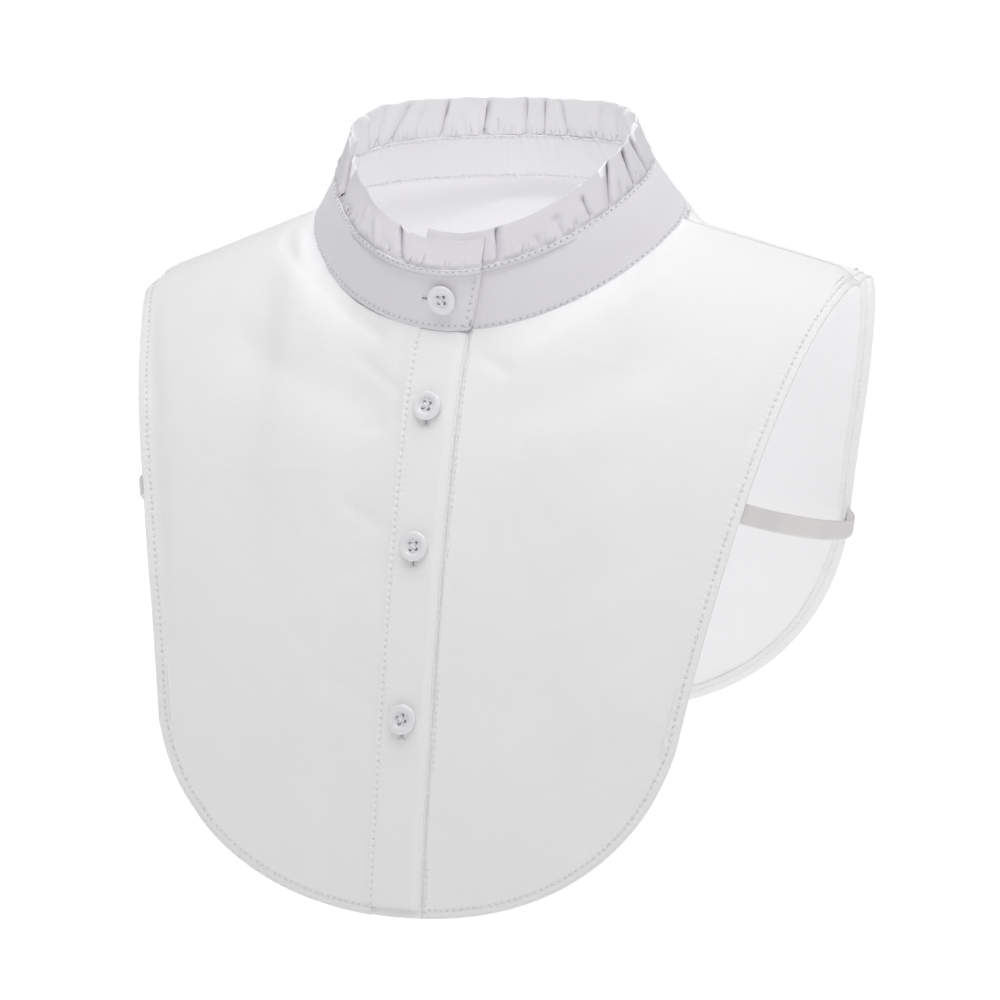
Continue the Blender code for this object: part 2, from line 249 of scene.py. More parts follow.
def cotton_finish(name, light, shade, holes=0.7, inner=None):
    """Poplin that drifts between two tones. Given inner, the ruffle's inner ply past the fold gets that lighter tone as
    painted light.
    """
    finish = Finish(name)
    across, down = finish.places("weave")
    yarn = pi / (YARN_MM * MM)
    weave = (across * yarn).sine() * (down * yarn).sine()
    stretched = finish.node("Mapping", None, {0: finish.node("UVMap", {"uv_map": "weave"}), 3: (3000, 90, 1)})
    slub = finish.grain(1.0, 1.0, stretched)
    crumple = finish.grain(210.0, 3.0)
    along, off = finish.places("seam")
    off_seam = (off * (1 / MM)).size()
    groove = finish.fade(off_seam, 0.0, GROOVE_HALF)
    gap = (STITCH_PITCH - STITCH_LENGTH) / 2 * MM
    beat = ((along + gap) * (2 * pi / (STITCH_PITCH * MM)) + pi / 2).sine()
    # This mask marks the needle holes: it sinks the cloth there, and below it darkens them as painted shade.
    needle_dent_and_shade = (1 - finish.fade(beat, 0.6, 0.95)) * finish.fade(off_seam, 0.1, NEEDLE_REACH)
    height = weave * WEAVE_RELIEF + slub * SLUB_RELIEF + crumple * CRUMPLE_RELIEF
    height = height - groove * GROOVE_RELIEF - beat * finish.fade(off_seam, 0.0, PUCKER_REACH) * PUCKER_RELIEF
    height = height - needle_dent_and_shade * NEEDLE_RELIEF
    colour = finish.blend(finish.grain(11.0, 2.0), light, shade)
    # Painted light: past the fold, the ruffle's inner ply takes the lighter inner tone.
    if inner:
        colour = finish.blend(finish.fade(down, RUFFLE_LIT_PLY_FROM - MM, RUFFLE_LIT_PLY_FROM + MM), inner, colour)
    finish.surface(
        Base_Color=finish.blend(needle_dent_and_shade * holes, colour, NEEDLE_HOLE_PAINTED_SHADE),
        Roughness=0.74 + 0.12 * slub,
        Normal=finish.relief(height),
        Sheen_Weight=0.25,
        Sheen_Roughness=0.5,
        Specular_IOR_Level=0.25,
    )
    return finish.material


# Painted light and shade: the back and the stand's inner layer get a lighter copy of the white, and the stand's outer
# layer a darker copy.
COTTON = cotton_finish("white_cotton", (0.89, 0.885, 0.89), (0.87, 0.865, 0.875), 0.15)
PAINTED_LIGHT_COTTON = cotton_finish("painted_light_cotton", (0.94, 0.93, 0.94), (0.91, 0.90, 0.915), 0.15)
PAINTED_SHADE_STAND_COTTON = cotton_finish("painted_shade_stand_cotton", (0.80, 0.785, 0.82), (0.77, 0.755, 0.795))
# Painted shade and light: the ruffle's outer ply gets a darker copy of the white, and its inner ply a lighter tone.
PAINTED_SHADE_AND_LIGHT_RUFFLE_COTTON = cotton_finish(
    "ruffle_cotton_painted_shade_and_light", (0.70, 0.685, 0.72), (0.67, 0.655, 0.695), inner=(0.91, 0.90, 0.92)
)
print("cotton finishes:", COTTON.name, PAINTED_LIGHT_COTTON.name, PAINTED_SHADE_STAND_COTTON.name, PAINTED_SHADE_AND_LIGHT_RUFFLE_COTTON.name)

# %% [markdown]
# The stitches, the buttons and the elastic are each another white. Sewing thread is glossier than the
# cloth, moulded buttons have a hard polished face with faint turning marks, and the elastic is a
# warmer, greyer knit.

# %% Thread, button and elastic
def thread_finish():
    finish = Finish("sewing_thread")
    fibre = finish.grain(5200.0, 1.0)
    finish.surface(
        Base_Color=finish.blend(fibre, (0.90, 0.90, 0.91), (0.82, 0.82, 0.84)),
        Roughness=0.5 + 0.1 * fibre,
        Normal=finish.relief(fibre * 0.03),
        Sheen_Weight=0.2,
    )
    return finish.material


def button_finish():
    finish = Finish("button_resin")
    cloud = finish.grain(420.0, 2.0)
    finish.surface(
        Base_Color=finish.blend(cloud, (0.84, 0.835, 0.85), (0.80, 0.795, 0.815)),
        Roughness=0.26 + 0.10 * cloud,
        Normal=finish.relief(finish.grain(2600.0, 1.0) * 0.01),
        Coat_Weight=0.25,
        Coat_Roughness=0.2,
    )
    return finish.material


def elastic_finish():
    finish = Finish("elastic_knit")
    fuzz = finish.grain(2400.0, 2.0)
    drift = finish.grain(26.0, 1.0)
    finish.surface(
        Base_Color=finish.blend(drift, (0.80, 0.78, 0.77), (0.70, 0.68, 0.68)),
        Roughness=0.8 + 0.1 * fuzz,
        Normal=finish.relief(fuzz * 0.05),
        Sheen_Weight=0.3,
    )
    return finish.material


# Painted shadow: a dark grey that stands for the shadow inside a buttonhole's slit.
def slit_shadow_finish():
    finish = Finish("slit_shadow_grey")
    fuzz = finish.grain(3000.0, 1.0)
    finish.surface(Base_Color=finish.blend(fuzz, (0.30, 0.29, 0.31), (0.20, 0.19, 0.21)), Roughness=0.9)
    return finish.material


THREAD = thread_finish()
SLIT_SHADOW = slit_shadow_finish()
RESIN = button_finish()
ELASTIC = elastic_finish()
print("other finishes:", THREAD.name, RESIN.name, ELASTIC.name)

# %% [markdown]
# The neck is described by closed curves: the seam where the stand meets the shoulders, the seam where
# the ruffle meets the stand, and the ruffle's rim. Each is nearly an ellipse that tips down to the
# front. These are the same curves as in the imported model, so the cloth lies on its solids.

# %% Neck curves
CLOTH = 1.0
SEAM_GAP = 0.35
LAYER = CLOTH + SEAM_GAP
Ring = namedtuple("Ring", "half_width half_depth y_centre z_centre slope saddle")
NECK_SEAM = Ring(73.5, 57.0, 0.0, 1.0, 0.33, 14.0)
RUFFLE_SEAM = Ring(61.8, 54.0, -4.5, 21.8, 0.29, 12.2)
RUFFLE_RIM = Ring(56.0, 45.0, -4.0, 35.8, 0.39, 13.8)
POINTEDNESS = 1.1


def on_ring(ring, turn):
    """The point of a ring at an angle from the centre front towards the wearer's left."""
    aside = copysign(abs(sin(turn)) ** POINTEDNESS, sin(turn))
    forward = copysign(abs(cos(turn)) ** POINTEDNESS, cos(turn)) * ring.half_depth
    z = ring.z_centre - ring.slope * forward + ring.saddle * (aside**2 - 0.5)
    return Vector((ring.half_width * aside, ring.y_centre - forward, z))


def turn_at(ring, x):
    """The angle at which the front half of a ring reaches x."""
    aside = x / ring.half_width
    return copysign(asin(abs(aside) ** (1 / POINTEDNESS)), aside)


def wall_up(low, high, turn):
    return (on_ring(high, turn) - on_ring(low, turn)).normalized()


def wall_out(low, high, turn, step=0.01):
    """Away from the neck, square to a wall that stands between two rings."""
    along = on_ring(low, turn + step) - on_ring(low, turn - step)
    return along.cross(wall_up(low, high, turn)).normalized()


print("neck seam is", round(2 * NECK_SEAM.half_width), "by", round(2 * NECK_SEAM.half_depth), "mm")

# %% [markdown]
# A bib panel hangs from the neck seam and the shoulder seam. Its columns run down to a hem that is
# part of a filled-out ellipse. It could be draped by a simulation, but this collar keeps the form that
# wearing gives it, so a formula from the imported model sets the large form, and creases are added after.

# %% Bib panels as a formula
SHOULDER_TIP = Vector((143.7, 0.0, -14.0))
DEPTH_Z = -205.0
Bib = namedtuple("Bib", "half_width widest_z hem_z corner_angle bow depth shoulder_power centre_power")
FRONT = Bib(103.5, -138.0, -226.0, radians(76), 3.5, 129.0, 0.47, 0.72)
BACK = Bib(120.0, -86.0, -212.0, radians(71), 6.5, 84.0, 0.47, 0.72)
HEM_ROUNDNESS = 0.92
NECK_SHARE = 0.5
NECK_BLEND_POWER = 3
SHOULDER_SEAM_GAP = 0.1


def top_point(across, x_in, front):
    if across <= NECK_SHARE:
        turn = mix(turn_at(NECK_SEAM, x_in), pi / 2, across / NECK_SHARE)
        return on_ring(NECK_SEAM, turn if front else pi - turn)
    return on_ring(NECK_SEAM, pi / 2).lerp(SHOULDER_TIP, (across - NECK_SHARE) / (1 - NECK_SHARE))


def hem_point(across, x_in, bib):
    angle = mix(asin((x_in / bib.half_width) ** (1 / HEM_ROUNDNESS)), bib.corner_angle, across)
    aside, drop = sin(angle) ** HEM_ROUNDNESS, cos(angle) ** HEM_ROUNDNESS
    return bib.half_width * aside, mix(bib.widest_z, bib.hem_z, drop)


def bib_point(across, down, x_in, front):
    """A point of the worn panel's inner face, on the wearer's left half."""
    bib = FRONT if front else BACK
    top = top_point(across, x_in, front)
    hem_x, hem_z = hem_point(across, x_in, bib)
    x = mix(top.x, hem_x, down) + across**2 * bib.bow * sin(pi * down)
    z = mix(top.z, hem_z, down**2)
    fall = (top.z - z) / (top.z - DEPTH_Z)
    level = max(1 - fall, 0.0) ** NECK_BLEND_POWER
    neck = NECK_SEAM.half_depth
    below_shoulder = bib.depth * fall**bib.shoulder_power
    below_neck = neck * (1 - level) + (bib.depth - neck) * fall**bib.centre_power
    off_seam = mix(below_neck, below_shoulder, smooth(across / NECK_SHARE))
    off_seam += abs(top.y) * level + SHOULDER_SEAM_GAP / 2
    return Vector((x, -off_seam if front else off_seam, z))


def normal_of(surface, along, down, step=0.01):
    """Square to the surface, taken a step in from its edges."""
    along = min(max(along, step), 1 - step)
    down = min(max(down, step), 1 - step)
    level = surface(along + step, down) - surface(along - step, down)
    fall = surface(along, down + step) - surface(along, down - step)
    return level.cross(fall).normalized()


print("front reaches from", round(top_point(0, 10, True).z), "to", FRONT.hem_z, "mm")

# %% [markdown]
# Every cloth piece starts as a flat grid whose points are then put in place, which keeps the faces even
# and gives each point a column and a row. The grid also carries two maps. One follows the weave, and
# the other gives the way along the nearest seam and the distance from it, for the groove and the
# needle holes of the stitching.

# %% Cloth from a grid
Cloth = namedtuple("Cloth", "bm grid")


def cloth_grid(columns, rows, place):
    """An open sheet of cloth in millimetres, with its points by column and row."""
    bm = bmesh.new()
    bmesh.ops.create_grid(bm, x_segments=columns, y_segments=rows, size=1.0)
    grid = [[None] * (rows + 1) for _ in range(columns + 1)]
    for vert in bm.verts:
        column = round((vert.co.x + 1) / 2 * columns)
        row = round((vert.co.y + 1) / 2 * rows)
        grid[column][row] = vert
    for column, line in enumerate(grid):
        for row, vert in enumerate(line):
            vert.co = place(column, row)
    bm.verts.index_update()
    return Cloth(bm, grid)


def map_weave(cloth, name="weave"):
    """Lays the weave map by the lengths along the middle row and down each column."""
    rows = len(cloth.grid[0])
    middle = rows // 2
    seats = {}
    across = 0.0
    for column, line in enumerate(cloth.grid):
        if column:
            across += (line[middle].co - cloth.grid[column - 1][middle].co).length
        down = 0.0
        for row, vert in enumerate(line):
            if row:
                down += (vert.co - line[row - 1].co).length
            seats[vert.index] = (across * MM, down * MM)
    lay_map(cloth.bm, name, seats)
    return across


def lay_map(bm, name, seats):
    layer = bm.loops.layers.uv.new(name)
    for face in bm.faces:
        for loop in face.loops:
            loop[layer].uv = seats.get(loop.vert.index, (0.0, 0.0))


def raise_relief(cloth, height):
    """Moves each point along its normal by a height that depends on the point, its column and row."""
    cloth.bm.normal_update()
    moves = []
    for column, line in enumerate(cloth.grid):
        for row, vert in enumerate(line):
            moves.append((vert, vert.normal * height(vert.co, column, row)))
    for vert, move in moves:
        vert.co += move
    cloth.bm.normal_update()


def lined_up(edge):
    """Points along an edge with the length up to each."""
    length = 0.0
    lengths = [0.0]
    for before, point in zip(edge, edge[1:]):
        length += (point - before).length
        lengths.append(length)
    return lengths


FAR_FROM_SEAM = 1.0


def map_seam(cloth, seat=None):
    """Lays the map of the way along a seam and the distance from it, from a function in millimetres."""
    seats = {}
    for column, line in enumerate(cloth.grid):
        for row, vert in enumerate(line):
            along, off = seat(vert.co, column, row) if seat else (0.0, FAR_FROM_SEAM / MM)
            seats[vert.index] = (along * MM, off * MM)
    lay_map(cloth.bm, "seam", seats)


print("grid helpers ready")

# %% [markdown]
# A finished mesh becomes an object whose origin is the shared one. Solidify gives the cloth its
# thickness behind the outer face, the piece is tied to the body, and the solid it stands for is hidden.

# %% Finished objects
def finished(name, bm, material, node=None):
    """An object from a mesh in millimetres, tied to the frame."""
    bmesh.ops.scale(bm, vec=(MM, MM, MM), verts=bm.verts)
    mesh = bpy.data.meshes.new(name)
    bm.to_mesh(mesh)
    bm.free()
    mesh.materials.append(material)
    mesh.shade_smooth()
    obj = bpy.data.objects.new(name, mesh)
    bpy.context.scene.collection.objects.link(obj)
    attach(obj, BODY)
    if node:
        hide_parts(node)
    return obj


def thicken(obj, thickness, rounding=0.0):
    """Gives cloth its thickness behind the outer face, and rounds its edges if asked."""
    wall = obj.modifiers.new("thickness", "SOLIDIFY")
    wall.thickness = thickness * MM
    wall.offset = -1.0
    wall.use_even_offset = False
    if rounding:
        edge = obj.modifiers.new("edge", "BEVEL")
        edge.width = rounding * MM
        edge.segments = 2
        edge.limit_method = "ANGLE"
        edge.angle_limit = radians(50)
    return obj


def area_of(bm):
    """The area of a sheet in square metres, before it is scaled."""
    return sum(face.calc_area() for face in bm.faces) * MM * MM


print("finishing helpers ready")

# %% [markdown]
# Stitches are short beads of thread that sink into the cloth at both ends. A hundred of them in a row
# make a seam, so each is an ellipsoid with a few dozen faces, turned to lie along the line and pressed
# on to the cloth. Which cloth it lies on is found with a search tree of the cloth's own faces.

# %% Stitches
THREAD_RADIUS = 0.19
STITCH_SEGMENTS = 6
STITCH_RINGS = 4


def thread_ball():
    """The ball that every stitch is stretched from."""
    bm = bmesh.new()
    bmesh.ops.create_uvsphere(bm, u_segments=STITCH_SEGMENTS, v_segments=STITCH_RINGS, radius=1.0)
    return bm


THREAD_BALL = thread_ball()
SPARE_MESH = bpy.data.meshes.new("spare")


def bead(bm, middle, along, out, length, radius):
    """One stitch: an ellipsoid at a point, long way along, standing out of the cloth."""
    along = (along - out * along.dot(out)).normalized()
    side = out.cross(along)
    turn = Matrix((side, out, along)).transposed().to_4x4()
    shape = Matrix.Diagonal((radius, radius, length / 2, 1.0))
    ball = THREAD_BALL.copy()
    bmesh.ops.transform(ball, matrix=Matrix.Translation(middle) @ turn @ shape, verts=ball.verts)
    ball.to_mesh(SPARE_MESH)
    ball.free()
    bm.from_mesh(SPARE_MESH)


def at_length(points, lengths, wanted):
    """The point of a line at a length along it."""
    for index in range(1, len(points)):
        if lengths[index] >= wanted or index == len(points) - 1:
            step = lengths[index] - lengths[index - 1]
            share = (wanted - lengths[index - 1]) / step if step else 0.0
            return points[index - 1].lerp(points[index], share)
    return points[-1]


def sew(bm, line, cloth, depth=0.0, inside=False):
    """A row of stitches along a line of points, pressed on to the cloth, or on its inner side."""
    lengths = lined_up(line)
    count = int(lengths[-1] / STITCH_PITCH)
    for number in range(count):
        start = at_length(line, lengths, number * STITCH_PITCH)
        end = at_length(line, lengths, number * STITCH_PITCH + STITCH_LENGTH)
        place, out, _, _ = cloth.find_nearest((start + end) / 2)
        if inside:
            out = -out
        place = place + out * (depth + THREAD_RADIUS * 0.25)
        bead(bm, place, end - start, out, STITCH_LENGTH, THREAD_RADIUS)
    return count


print("a stitch is", STITCH_LENGTH, "mm long")

# %% [markdown]
# Creases tell where the cloth is held and where it hangs. The photograph shows a soft valley beside
# the stand, another just inside the armhole edge, small pulls beside the buttons and faint fold lines
# across the chest. Each is one row here: two ends on the panel as seen from the front, its height,
# which is below zero for a trough, and its half width. The other half and the back get similar ones.

# %% Creases of the panels
Crease = namedtuple("Crease", "x1 z1 x2 z2 height width")
FRONT_CREASES = (
    Crease(-86, -28, -18, -52, -1.8, 11.0),
    Crease(-79, 2, -57, -9, -1.5, 3.2),
    Crease(-58, -8, -41, -19, -1.3, 3.2),
    Crease(-43, -18, -26, -26, -1.0, 3.2),
    Crease(-17, -27, -16, -52, -0.7, 2.6),
    Crease(-96, -18, -64, -30, 0.6, 7.0),
    Crease(-131, -24, -119, -52, -0.9, 4.5),
    Crease(-119, -50, -108, -100, -0.8, 4.5),
    Crease(-108, -98, -100, -140, -0.5, 4.0),
    Crease(-98, -74, -38, -71, 0.12, 1.3),
    Crease(-15, -44, -34, -33, -0.5, 2.6),
    Crease(-14, -52, -30, -58, -0.4, 2.4),
    Crease(-14, -92, -34, -82, -0.45, 3.0),
    Crease(-14, -100, -31, -108, -0.35, 3.0),
    Crease(-14, -152, -36, -143, -0.4, 3.0),
    Crease(-16, -160, -34, -171, -0.3, 3.2),
    Crease(-88, -196, -64, -178, -0.5, 5.0),
    Crease(18, -52, 84, -30, -1.2, 11.0),
    Crease(78, 1, 60, -9, -0.9, 3.4),
    Crease(60, -9, 32, -24, -0.7, 3.2),
    Crease(12, -30, 26, -36, -0.9, 3.0),
    Crease(49, -29, 71, -33, 0.25, 1.0),
    Crease(130, -26, 118, -56, -0.7, 4.5),
    Crease(118, -54, 106, -108, -0.6, 4.5),
    Crease(36, -62, 84, -44, 0.6, 9.0),
    Crease(40, -120, 92, -86, -0.7, 11.0),
    Crease(30, -176, 84, -140, 0.6, 11.0),
    Crease(90, -178, 66, -196, -0.5, 5.0),
)
BACK_CREASES = (
    Crease(-70, 10, -30, 14, -0.8, 4.0),
    Crease(70, 9, 26, 14, -0.7, 4.0),
    Crease(-128, -26, -122, -70, -0.8, 5.0),
    Crease(129, -28, 121, -74, -0.8, 5.0),
    Crease(-6, -4, -9, -96, 0.4, 7.0),
    Crease(-60, -30, -86, -110, -0.8, 10.0),
    Crease(58, -34, 80, -118, -0.9, 11.0),
    Crease(-92, -64, 90, -61, 0.20, 1.5),
    Crease(-44, -150, 40, -138, 0.5, 12.0),
)
SWELL = 0.7
SWELL_WAVE = 42.0
FLUTTER = 0.12
FLUTTER_WAVE = 9.0


def crease_height(crease, x, z):
    """A crease's height at a place, with both its ends faded out."""
    way = Vector((crease.x2 - crease.x1, crease.z2 - crease.z1))
    offset = Vector((x - crease.x1, z - crease.z1))
    share = offset.dot(way) / way.length_squared
    if not -0.2 < share < 1.2:
        return 0.0
    aside = abs(way.x * offset.y - way.y * offset.x) / way.length
    if aside > 3 * crease.width:
        return 0.0
    fade = smooth((share + 0.2) / 0.35) * smooth((1.2 - share) / 0.35)
    return crease.height * bell(aside, crease.width) * fade


def drape_height(creases, seed):
    """The height of all the creases and of the slow swell of hanging cloth."""

    def height(point):
        total = sum(crease_height(crease, point.x, point.z) for crease in creases)
        total += SWELL * ripple(point.x, point.z, SWELL_WAVE, seed)
        return total + FLUTTER * ripple(point.x, point.z, FLUTTER_WAVE, seed + 5)

    return height


print(len(FRONT_CREASES) + len(BACK_CREASES), "creases placed by hand")

# %% [markdown]
# Now the two fronts. The wearer's right front laps over the left, so it rises beside the closure. The
# top edge is tucked up between the stand's layers, and along the shoulder it is turned down inside,
# as a seam is. Rows are close together at the top, where the cloth turns the sharpest.

# %% The two fronts
CLOSURE_X = -3.0
PLACKET_HALF = 10.0
UNDER_PLACKET_EXTRA = 3.0
PLACKET_THICK = 1.2
PLACKET_HEM_SHARE = 0.992
LAP_REACH = 22.0
COTTON_THICK = 0.45
UNDER_PLACKET = 1.8
FRONT_COLUMNS = 116
FRONT_ROWS = 150
TUCK_ROWS = 2
NECK_TUCK = (1.9, 0.8)
SEAM_TUCK = (1.8, 0.7)
LEFT_RISE = 0.045
RIGHT_DROP = 0.085
TIP_ROUNDING = 3.0
TIP_REACH = 7.0
NECK_DIP = 0.5
NECK_DIP_REACH = 5.0
SEAM_GROOVE = 0.22
SEAM_GROOVE_HALF = 1.1
CLOSURE_DIP = 0.35
CLOSURE_DIP_REACH = 2.6
CORNER_REACHES = (30, 26, 22, 18, 14, 10, 6)
CORNER_PASSES = 20
ROW_POWER = 1.0


def tucked(across, x_in, front, row):
    """A point of the turned-in edge above the panel: up into the stand, or down in the shoulder seam."""
    top = top_point(across, x_in, front)
    turn = mix(turn_at(NECK_SEAM, x_in), pi / 2, min(across / NECK_SHARE, 1.0))
    turn = turn if front else pi - turn
    out = wall_out(NECK_SEAM, RUFFLE_SEAM, turn)
    neck = top - out * 0.35 + wall_up(NECK_SEAM, RUFFLE_SEAM, turn) * NECK_TUCK[row]
    seam = top + Vector((0, -SHOULDER_SEAM_GAP if front else SHOULDER_SEAM_GAP, CLOTH - SEAM_TUCK[row]))
    return neck.lerp(seam, smooth((across - NECK_SHARE + 0.02) / 0.04))


def panel(x_in, front, lift, columns, rows, whole=False, left=True):
    """A bib panel's outer face, worked out on the wearer's left. A whole one runs from right to left."""

    def surface(across, down):
        return bib_point(across, down, x_in, front)

    def place(column, row):
        along = column / columns
        across = abs(2 * along - 1) if whole else along
        if row < TUCK_ROWS:
            point = tucked(across, x_in, front, row)
        else:
            down = ((row - TUCK_ROWS) / (rows - TUCK_ROWS)) ** ROW_POWER
            side = 1 if not front else -1
            point = surface(across, down) + normal_of(surface, across, down) * side * lift(across, down)
        if whole and along < 0.5:
            point.x = -point.x
        down = max(row - TUCK_ROWS, 0) / (rows - TUCK_ROWS)
        beyond_neck = abs(point.x) - NECK_SEAM.half_width
        wearers_left = (along >= 0.5) if whole else left
        tilt = LEFT_RISE if wearers_left else -RIGHT_DROP
        point.z += tilt * max(beyond_neck, 0.0) * (1 - down) ** 2
        pull = TIP_ROUNDING * bell((top_point(across, x_in, front) - SHOULDER_TIP).length + 90 * down, TIP_REACH)
        point.x -= copysign(pull, point.x)
        point.z -= pull
        return point

    return cloth_grid(columns, rows, place)


def panel_dips(cloth, x_in, closure_dip, front, whole=False):
    """How the outer face sinks at the seams: under the stand, along the shoulder and by the placket."""
    columns = len(cloth.grid) - 1

    def height(point, column, row):
        if row < TUCK_ROWS:
            return 0.0
        across = abs(2 * column / columns - 1) if whole else column / columns
        line = cloth.grid[column]
        top = line[TUCK_ROWS].co
        from_top = (point - top).length
        neck = 1 - smooth((across - NECK_SHARE) / 0.03)
        dip = NECK_DIP * neck * bell(from_top, NECK_DIP_REACH)
        dip += SEAM_GROOVE * (1 - neck) * bell(from_top, SEAM_GROOVE_HALF)
        if closure_dip:
            dip += closure_dip * bell(abs(point.x) - x_in, CLOSURE_DIP_REACH)
        return -dip

    return height


EdgePoint = namedtuple("EdgePoint", "place out inner")
INNER_STEPS = 6


def outline_of(cloth, whole=False):
    """The hem and the armhole edge in order, with the way out of the cloth and a point further in."""
    grid = cloth.grid
    last_row, last_column = len(grid[0]) - 1, len(grid) - 1

    def edge_point(column, row):
        column_in = min(max(column, INNER_STEPS if whole else 0), last_column - INNER_STEPS)
        vert, inner = grid[column][row], grid[column_in][min(row, last_row - INNER_STEPS)]
        return EdgePoint(vert.co.copy(), vert.normal.copy(), inner.co.copy())

    hem = [edge_point(column, last_row) for column in range(last_column + 1)]
    side_rows = range(TUCK_ROWS, last_row)
    side = [edge_point(last_column, row) for row in reversed(side_rows)]
    return [edge_point(0, row) for row in side_rows] + hem + side if whole else hem + side


def between(edge, step):
    """The same edge with points about a step apart."""
    lengths = lined_up([point.place for point in edge])
    count = round(lengths[-1] / step)
    made = []
    index = 1
    for number in range(count + 1):
        wanted = lengths[-1] * number / count
        while index < len(edge) - 1 and lengths[index] < wanted:
            index += 1
        step_length = lengths[index] - lengths[index - 1]
        share = min(max((wanted - lengths[index - 1]) / step_length, 0.0), 1.0)
        before, after = edge[index - 1], edge[index]
        made.append(EdgePoint(*(one.lerp(two, share) for one, two in zip(before, after))))
    return made


def round_corners(cloth, columns_from, whole):
    """Rounds the cloth below the place where the neck seam turns into the shoulder seam."""
    last = len(cloth.grid) - 1
    corners = [round(last * (0.5 + NECK_SHARE / 2)), round(last * (0.5 - NECK_SHARE / 2))]
    if not whole:
        corners = [round(last * NECK_SHARE)]
    for corner in corners:
        for reach in columns_from:
            lines = cloth.grid[corner - reach : corner + reach + 1]
            verts = [vert for line in lines for vert in line[TUCK_ROWS + 2 : -14]]
            for _ in range(CORNER_PASSES):
                bmesh.ops.smooth_vert(
                    cloth.bm, verts=verts, factor=0.5, use_axis_x=True, use_axis_y=True, use_axis_z=True
                )


def make_front(side):
    """The front on the wearer's left for a side of 1, and on the right for -1."""
    left_in = CLOSURE_X + PLACKET_HALF + UNDER_PLACKET_EXTRA - UNDER_PLACKET
    right_in = PLACKET_HALF - CLOSURE_X - UNDER_PLACKET
    x_in = left_in if side > 0 else right_in

    def lift(across, down):
        if side > 0:
            return CLOTH
        from_closure = across / NECK_SHARE * NECK_SEAM.half_width
        return CLOTH + LAYER * (1 - smooth(from_closure / LAP_REACH))

    cloth = panel(x_in, True, lift, FRONT_COLUMNS, FRONT_ROWS, False, side > 0)
    round_corners(cloth, CORNER_REACHES, False)
    raise_relief(cloth, panel_dips(cloth, x_in, CLOSURE_DIP, True))
    if side < 0:
        bmesh.ops.scale(cloth.bm, vec=(-1, 1, 1), verts=cloth.bm.verts)
    else:
        bmesh.ops.reverse_faces(cloth.bm, faces=cloth.bm.faces)
    drape = drape_height(FRONT_CREASES, 1.0 if side > 0 else 2.0)

    def height(point, column, row):
        if row < TUCK_ROWS:
            return 0.0
        steady = smooth((row - TUCK_ROWS) / 4) * smooth((column + 2) / 10)
        return drape(point) * steady

    raise_relief(cloth, height)
    return cloth


def make_back():
    columns, rows = 2 * FRONT_COLUMNS, 136
    cloth = panel(0.0, False, lambda across, down: CLOTH, columns, rows, True)
    round_corners(cloth, CORNER_REACHES, True)
    raise_relief(cloth, panel_dips(cloth, 0.0, 0.0, False, True))
    drape = drape_height(BACK_CREASES, 3.0)

    def height(point, column, row):
        if row < TUCK_ROWS:
            return 0.0
        return drape(point) * smooth((row - TUCK_ROWS) / 4)

    raise_relief(cloth, height)
    return cloth


PANELS = {"front_left": make_front(1), "front_right": make_front(-1), "back": make_back()}
TREES = {name: BVHTree.FromBMesh(cloth.bm) for name, cloth in PANELS.items()}
EDGES = {name: between(outline_of(cloth, name == "back"), 1.2) for name, cloth in PANELS.items()}
for name, cloth in PANELS.items():
    print(name, "cloth", round(area_of(cloth.bm), 4), "m2, edge of", len(EDGES[name]), "points")

# %% [markdown]
# The edge is a narrow hem: the cloth is folded to the inside, turned under and stitched down. Inside
# the back it shows as a lighter band 5 mm wide with a crisp fold. A strip whose cross-section wraps
# round the cut edge gives both the rounded fold outside and the band inside.

# %% Hems
HemPoint = namedtuple("HemPoint", "inwards depth")
HEM_PROFILE = (
    HemPoint(0.55, -0.03),
    HemPoint(0.15, -0.02),
    HemPoint(-0.06, 0.18),
    HemPoint(-0.10, 0.48),
    HemPoint(-0.02, 0.78),
    HemPoint(0.30, 0.95),
    HemPoint(2.60, 0.99),
    HemPoint(4.90, 0.96),
    HemPoint(5.25, 0.86),
    HemPoint(5.30, 0.45),
)
HEM_CLOTH = 0.18


def edge_frames(name):
    """At each point of the edge: the point, the way round, outwards and into the panel."""
    edge = EDGES[name]
    frames = []
    for index, point in enumerate(edge):
        before = edge[max(index - 1, 0)].place
        after = edge[min(index + 1, len(edge) - 1)].place
        way = (after - before).normalized()
        out = (point.out - way * way.dot(point.out)).normalized()
        inwards = out.cross(way)
        if inwards.dot(point.inner - point.place) < 0:
            inwards.negate()
        frames.append((point.place, way, out, inwards))
    return frames


def make_hem(name):
    frames = edge_frames(name)

    def place(column, row):
        point, _, out, inwards = frames[column]
        spot = HEM_PROFILE[row]
        return point + inwards * spot.inwards - out * spot.depth

    cloth = cloth_grid(len(frames) - 1, len(HEM_PROFILE) - 1, place)
    map_weave(cloth)
    map_seam(cloth)
    first = cloth.grid[len(frames) // 2][0]
    cloth.bm.normal_update()
    if first.normal.dot(frames[len(frames) // 2][2]) < 0:
        bmesh.ops.reverse_faces(cloth.bm, faces=cloth.bm.faces)
    return thicken(finished(name + "_hem", cloth.bm, COTTON), HEM_CLOTH)


HEMS = {name: make_hem(name) for name in PANELS}
print("hems:", ", ".join(hem.name for hem in HEMS.values()))

# %% [markdown]
# The hem's seam runs 3 mm in from the edge and shows on both sides of the cloth.

# %% Hem stitches
STITCH_INSET = 3.0


def hem_seam(name):
    return [point + inwards * STITCH_INSET for point, _, _, inwards in edge_frames(name)]


def make_hem_stitches(name):
    bm = bmesh.new()
    line = hem_seam(name)
    count = sew(bm, line, TREES[name])
    count += sew(bm, line, TREES[name], depth=0.99, inside=True)
    print(name, "hem has", count, "stitches")
    return finished(name + "_hem_stitches", bm, THREAD)


HEM_STITCHES = {name: make_hem_stitches(name) for name in PANELS}

# %% The panels as pieces
PANEL_AREAS = {}


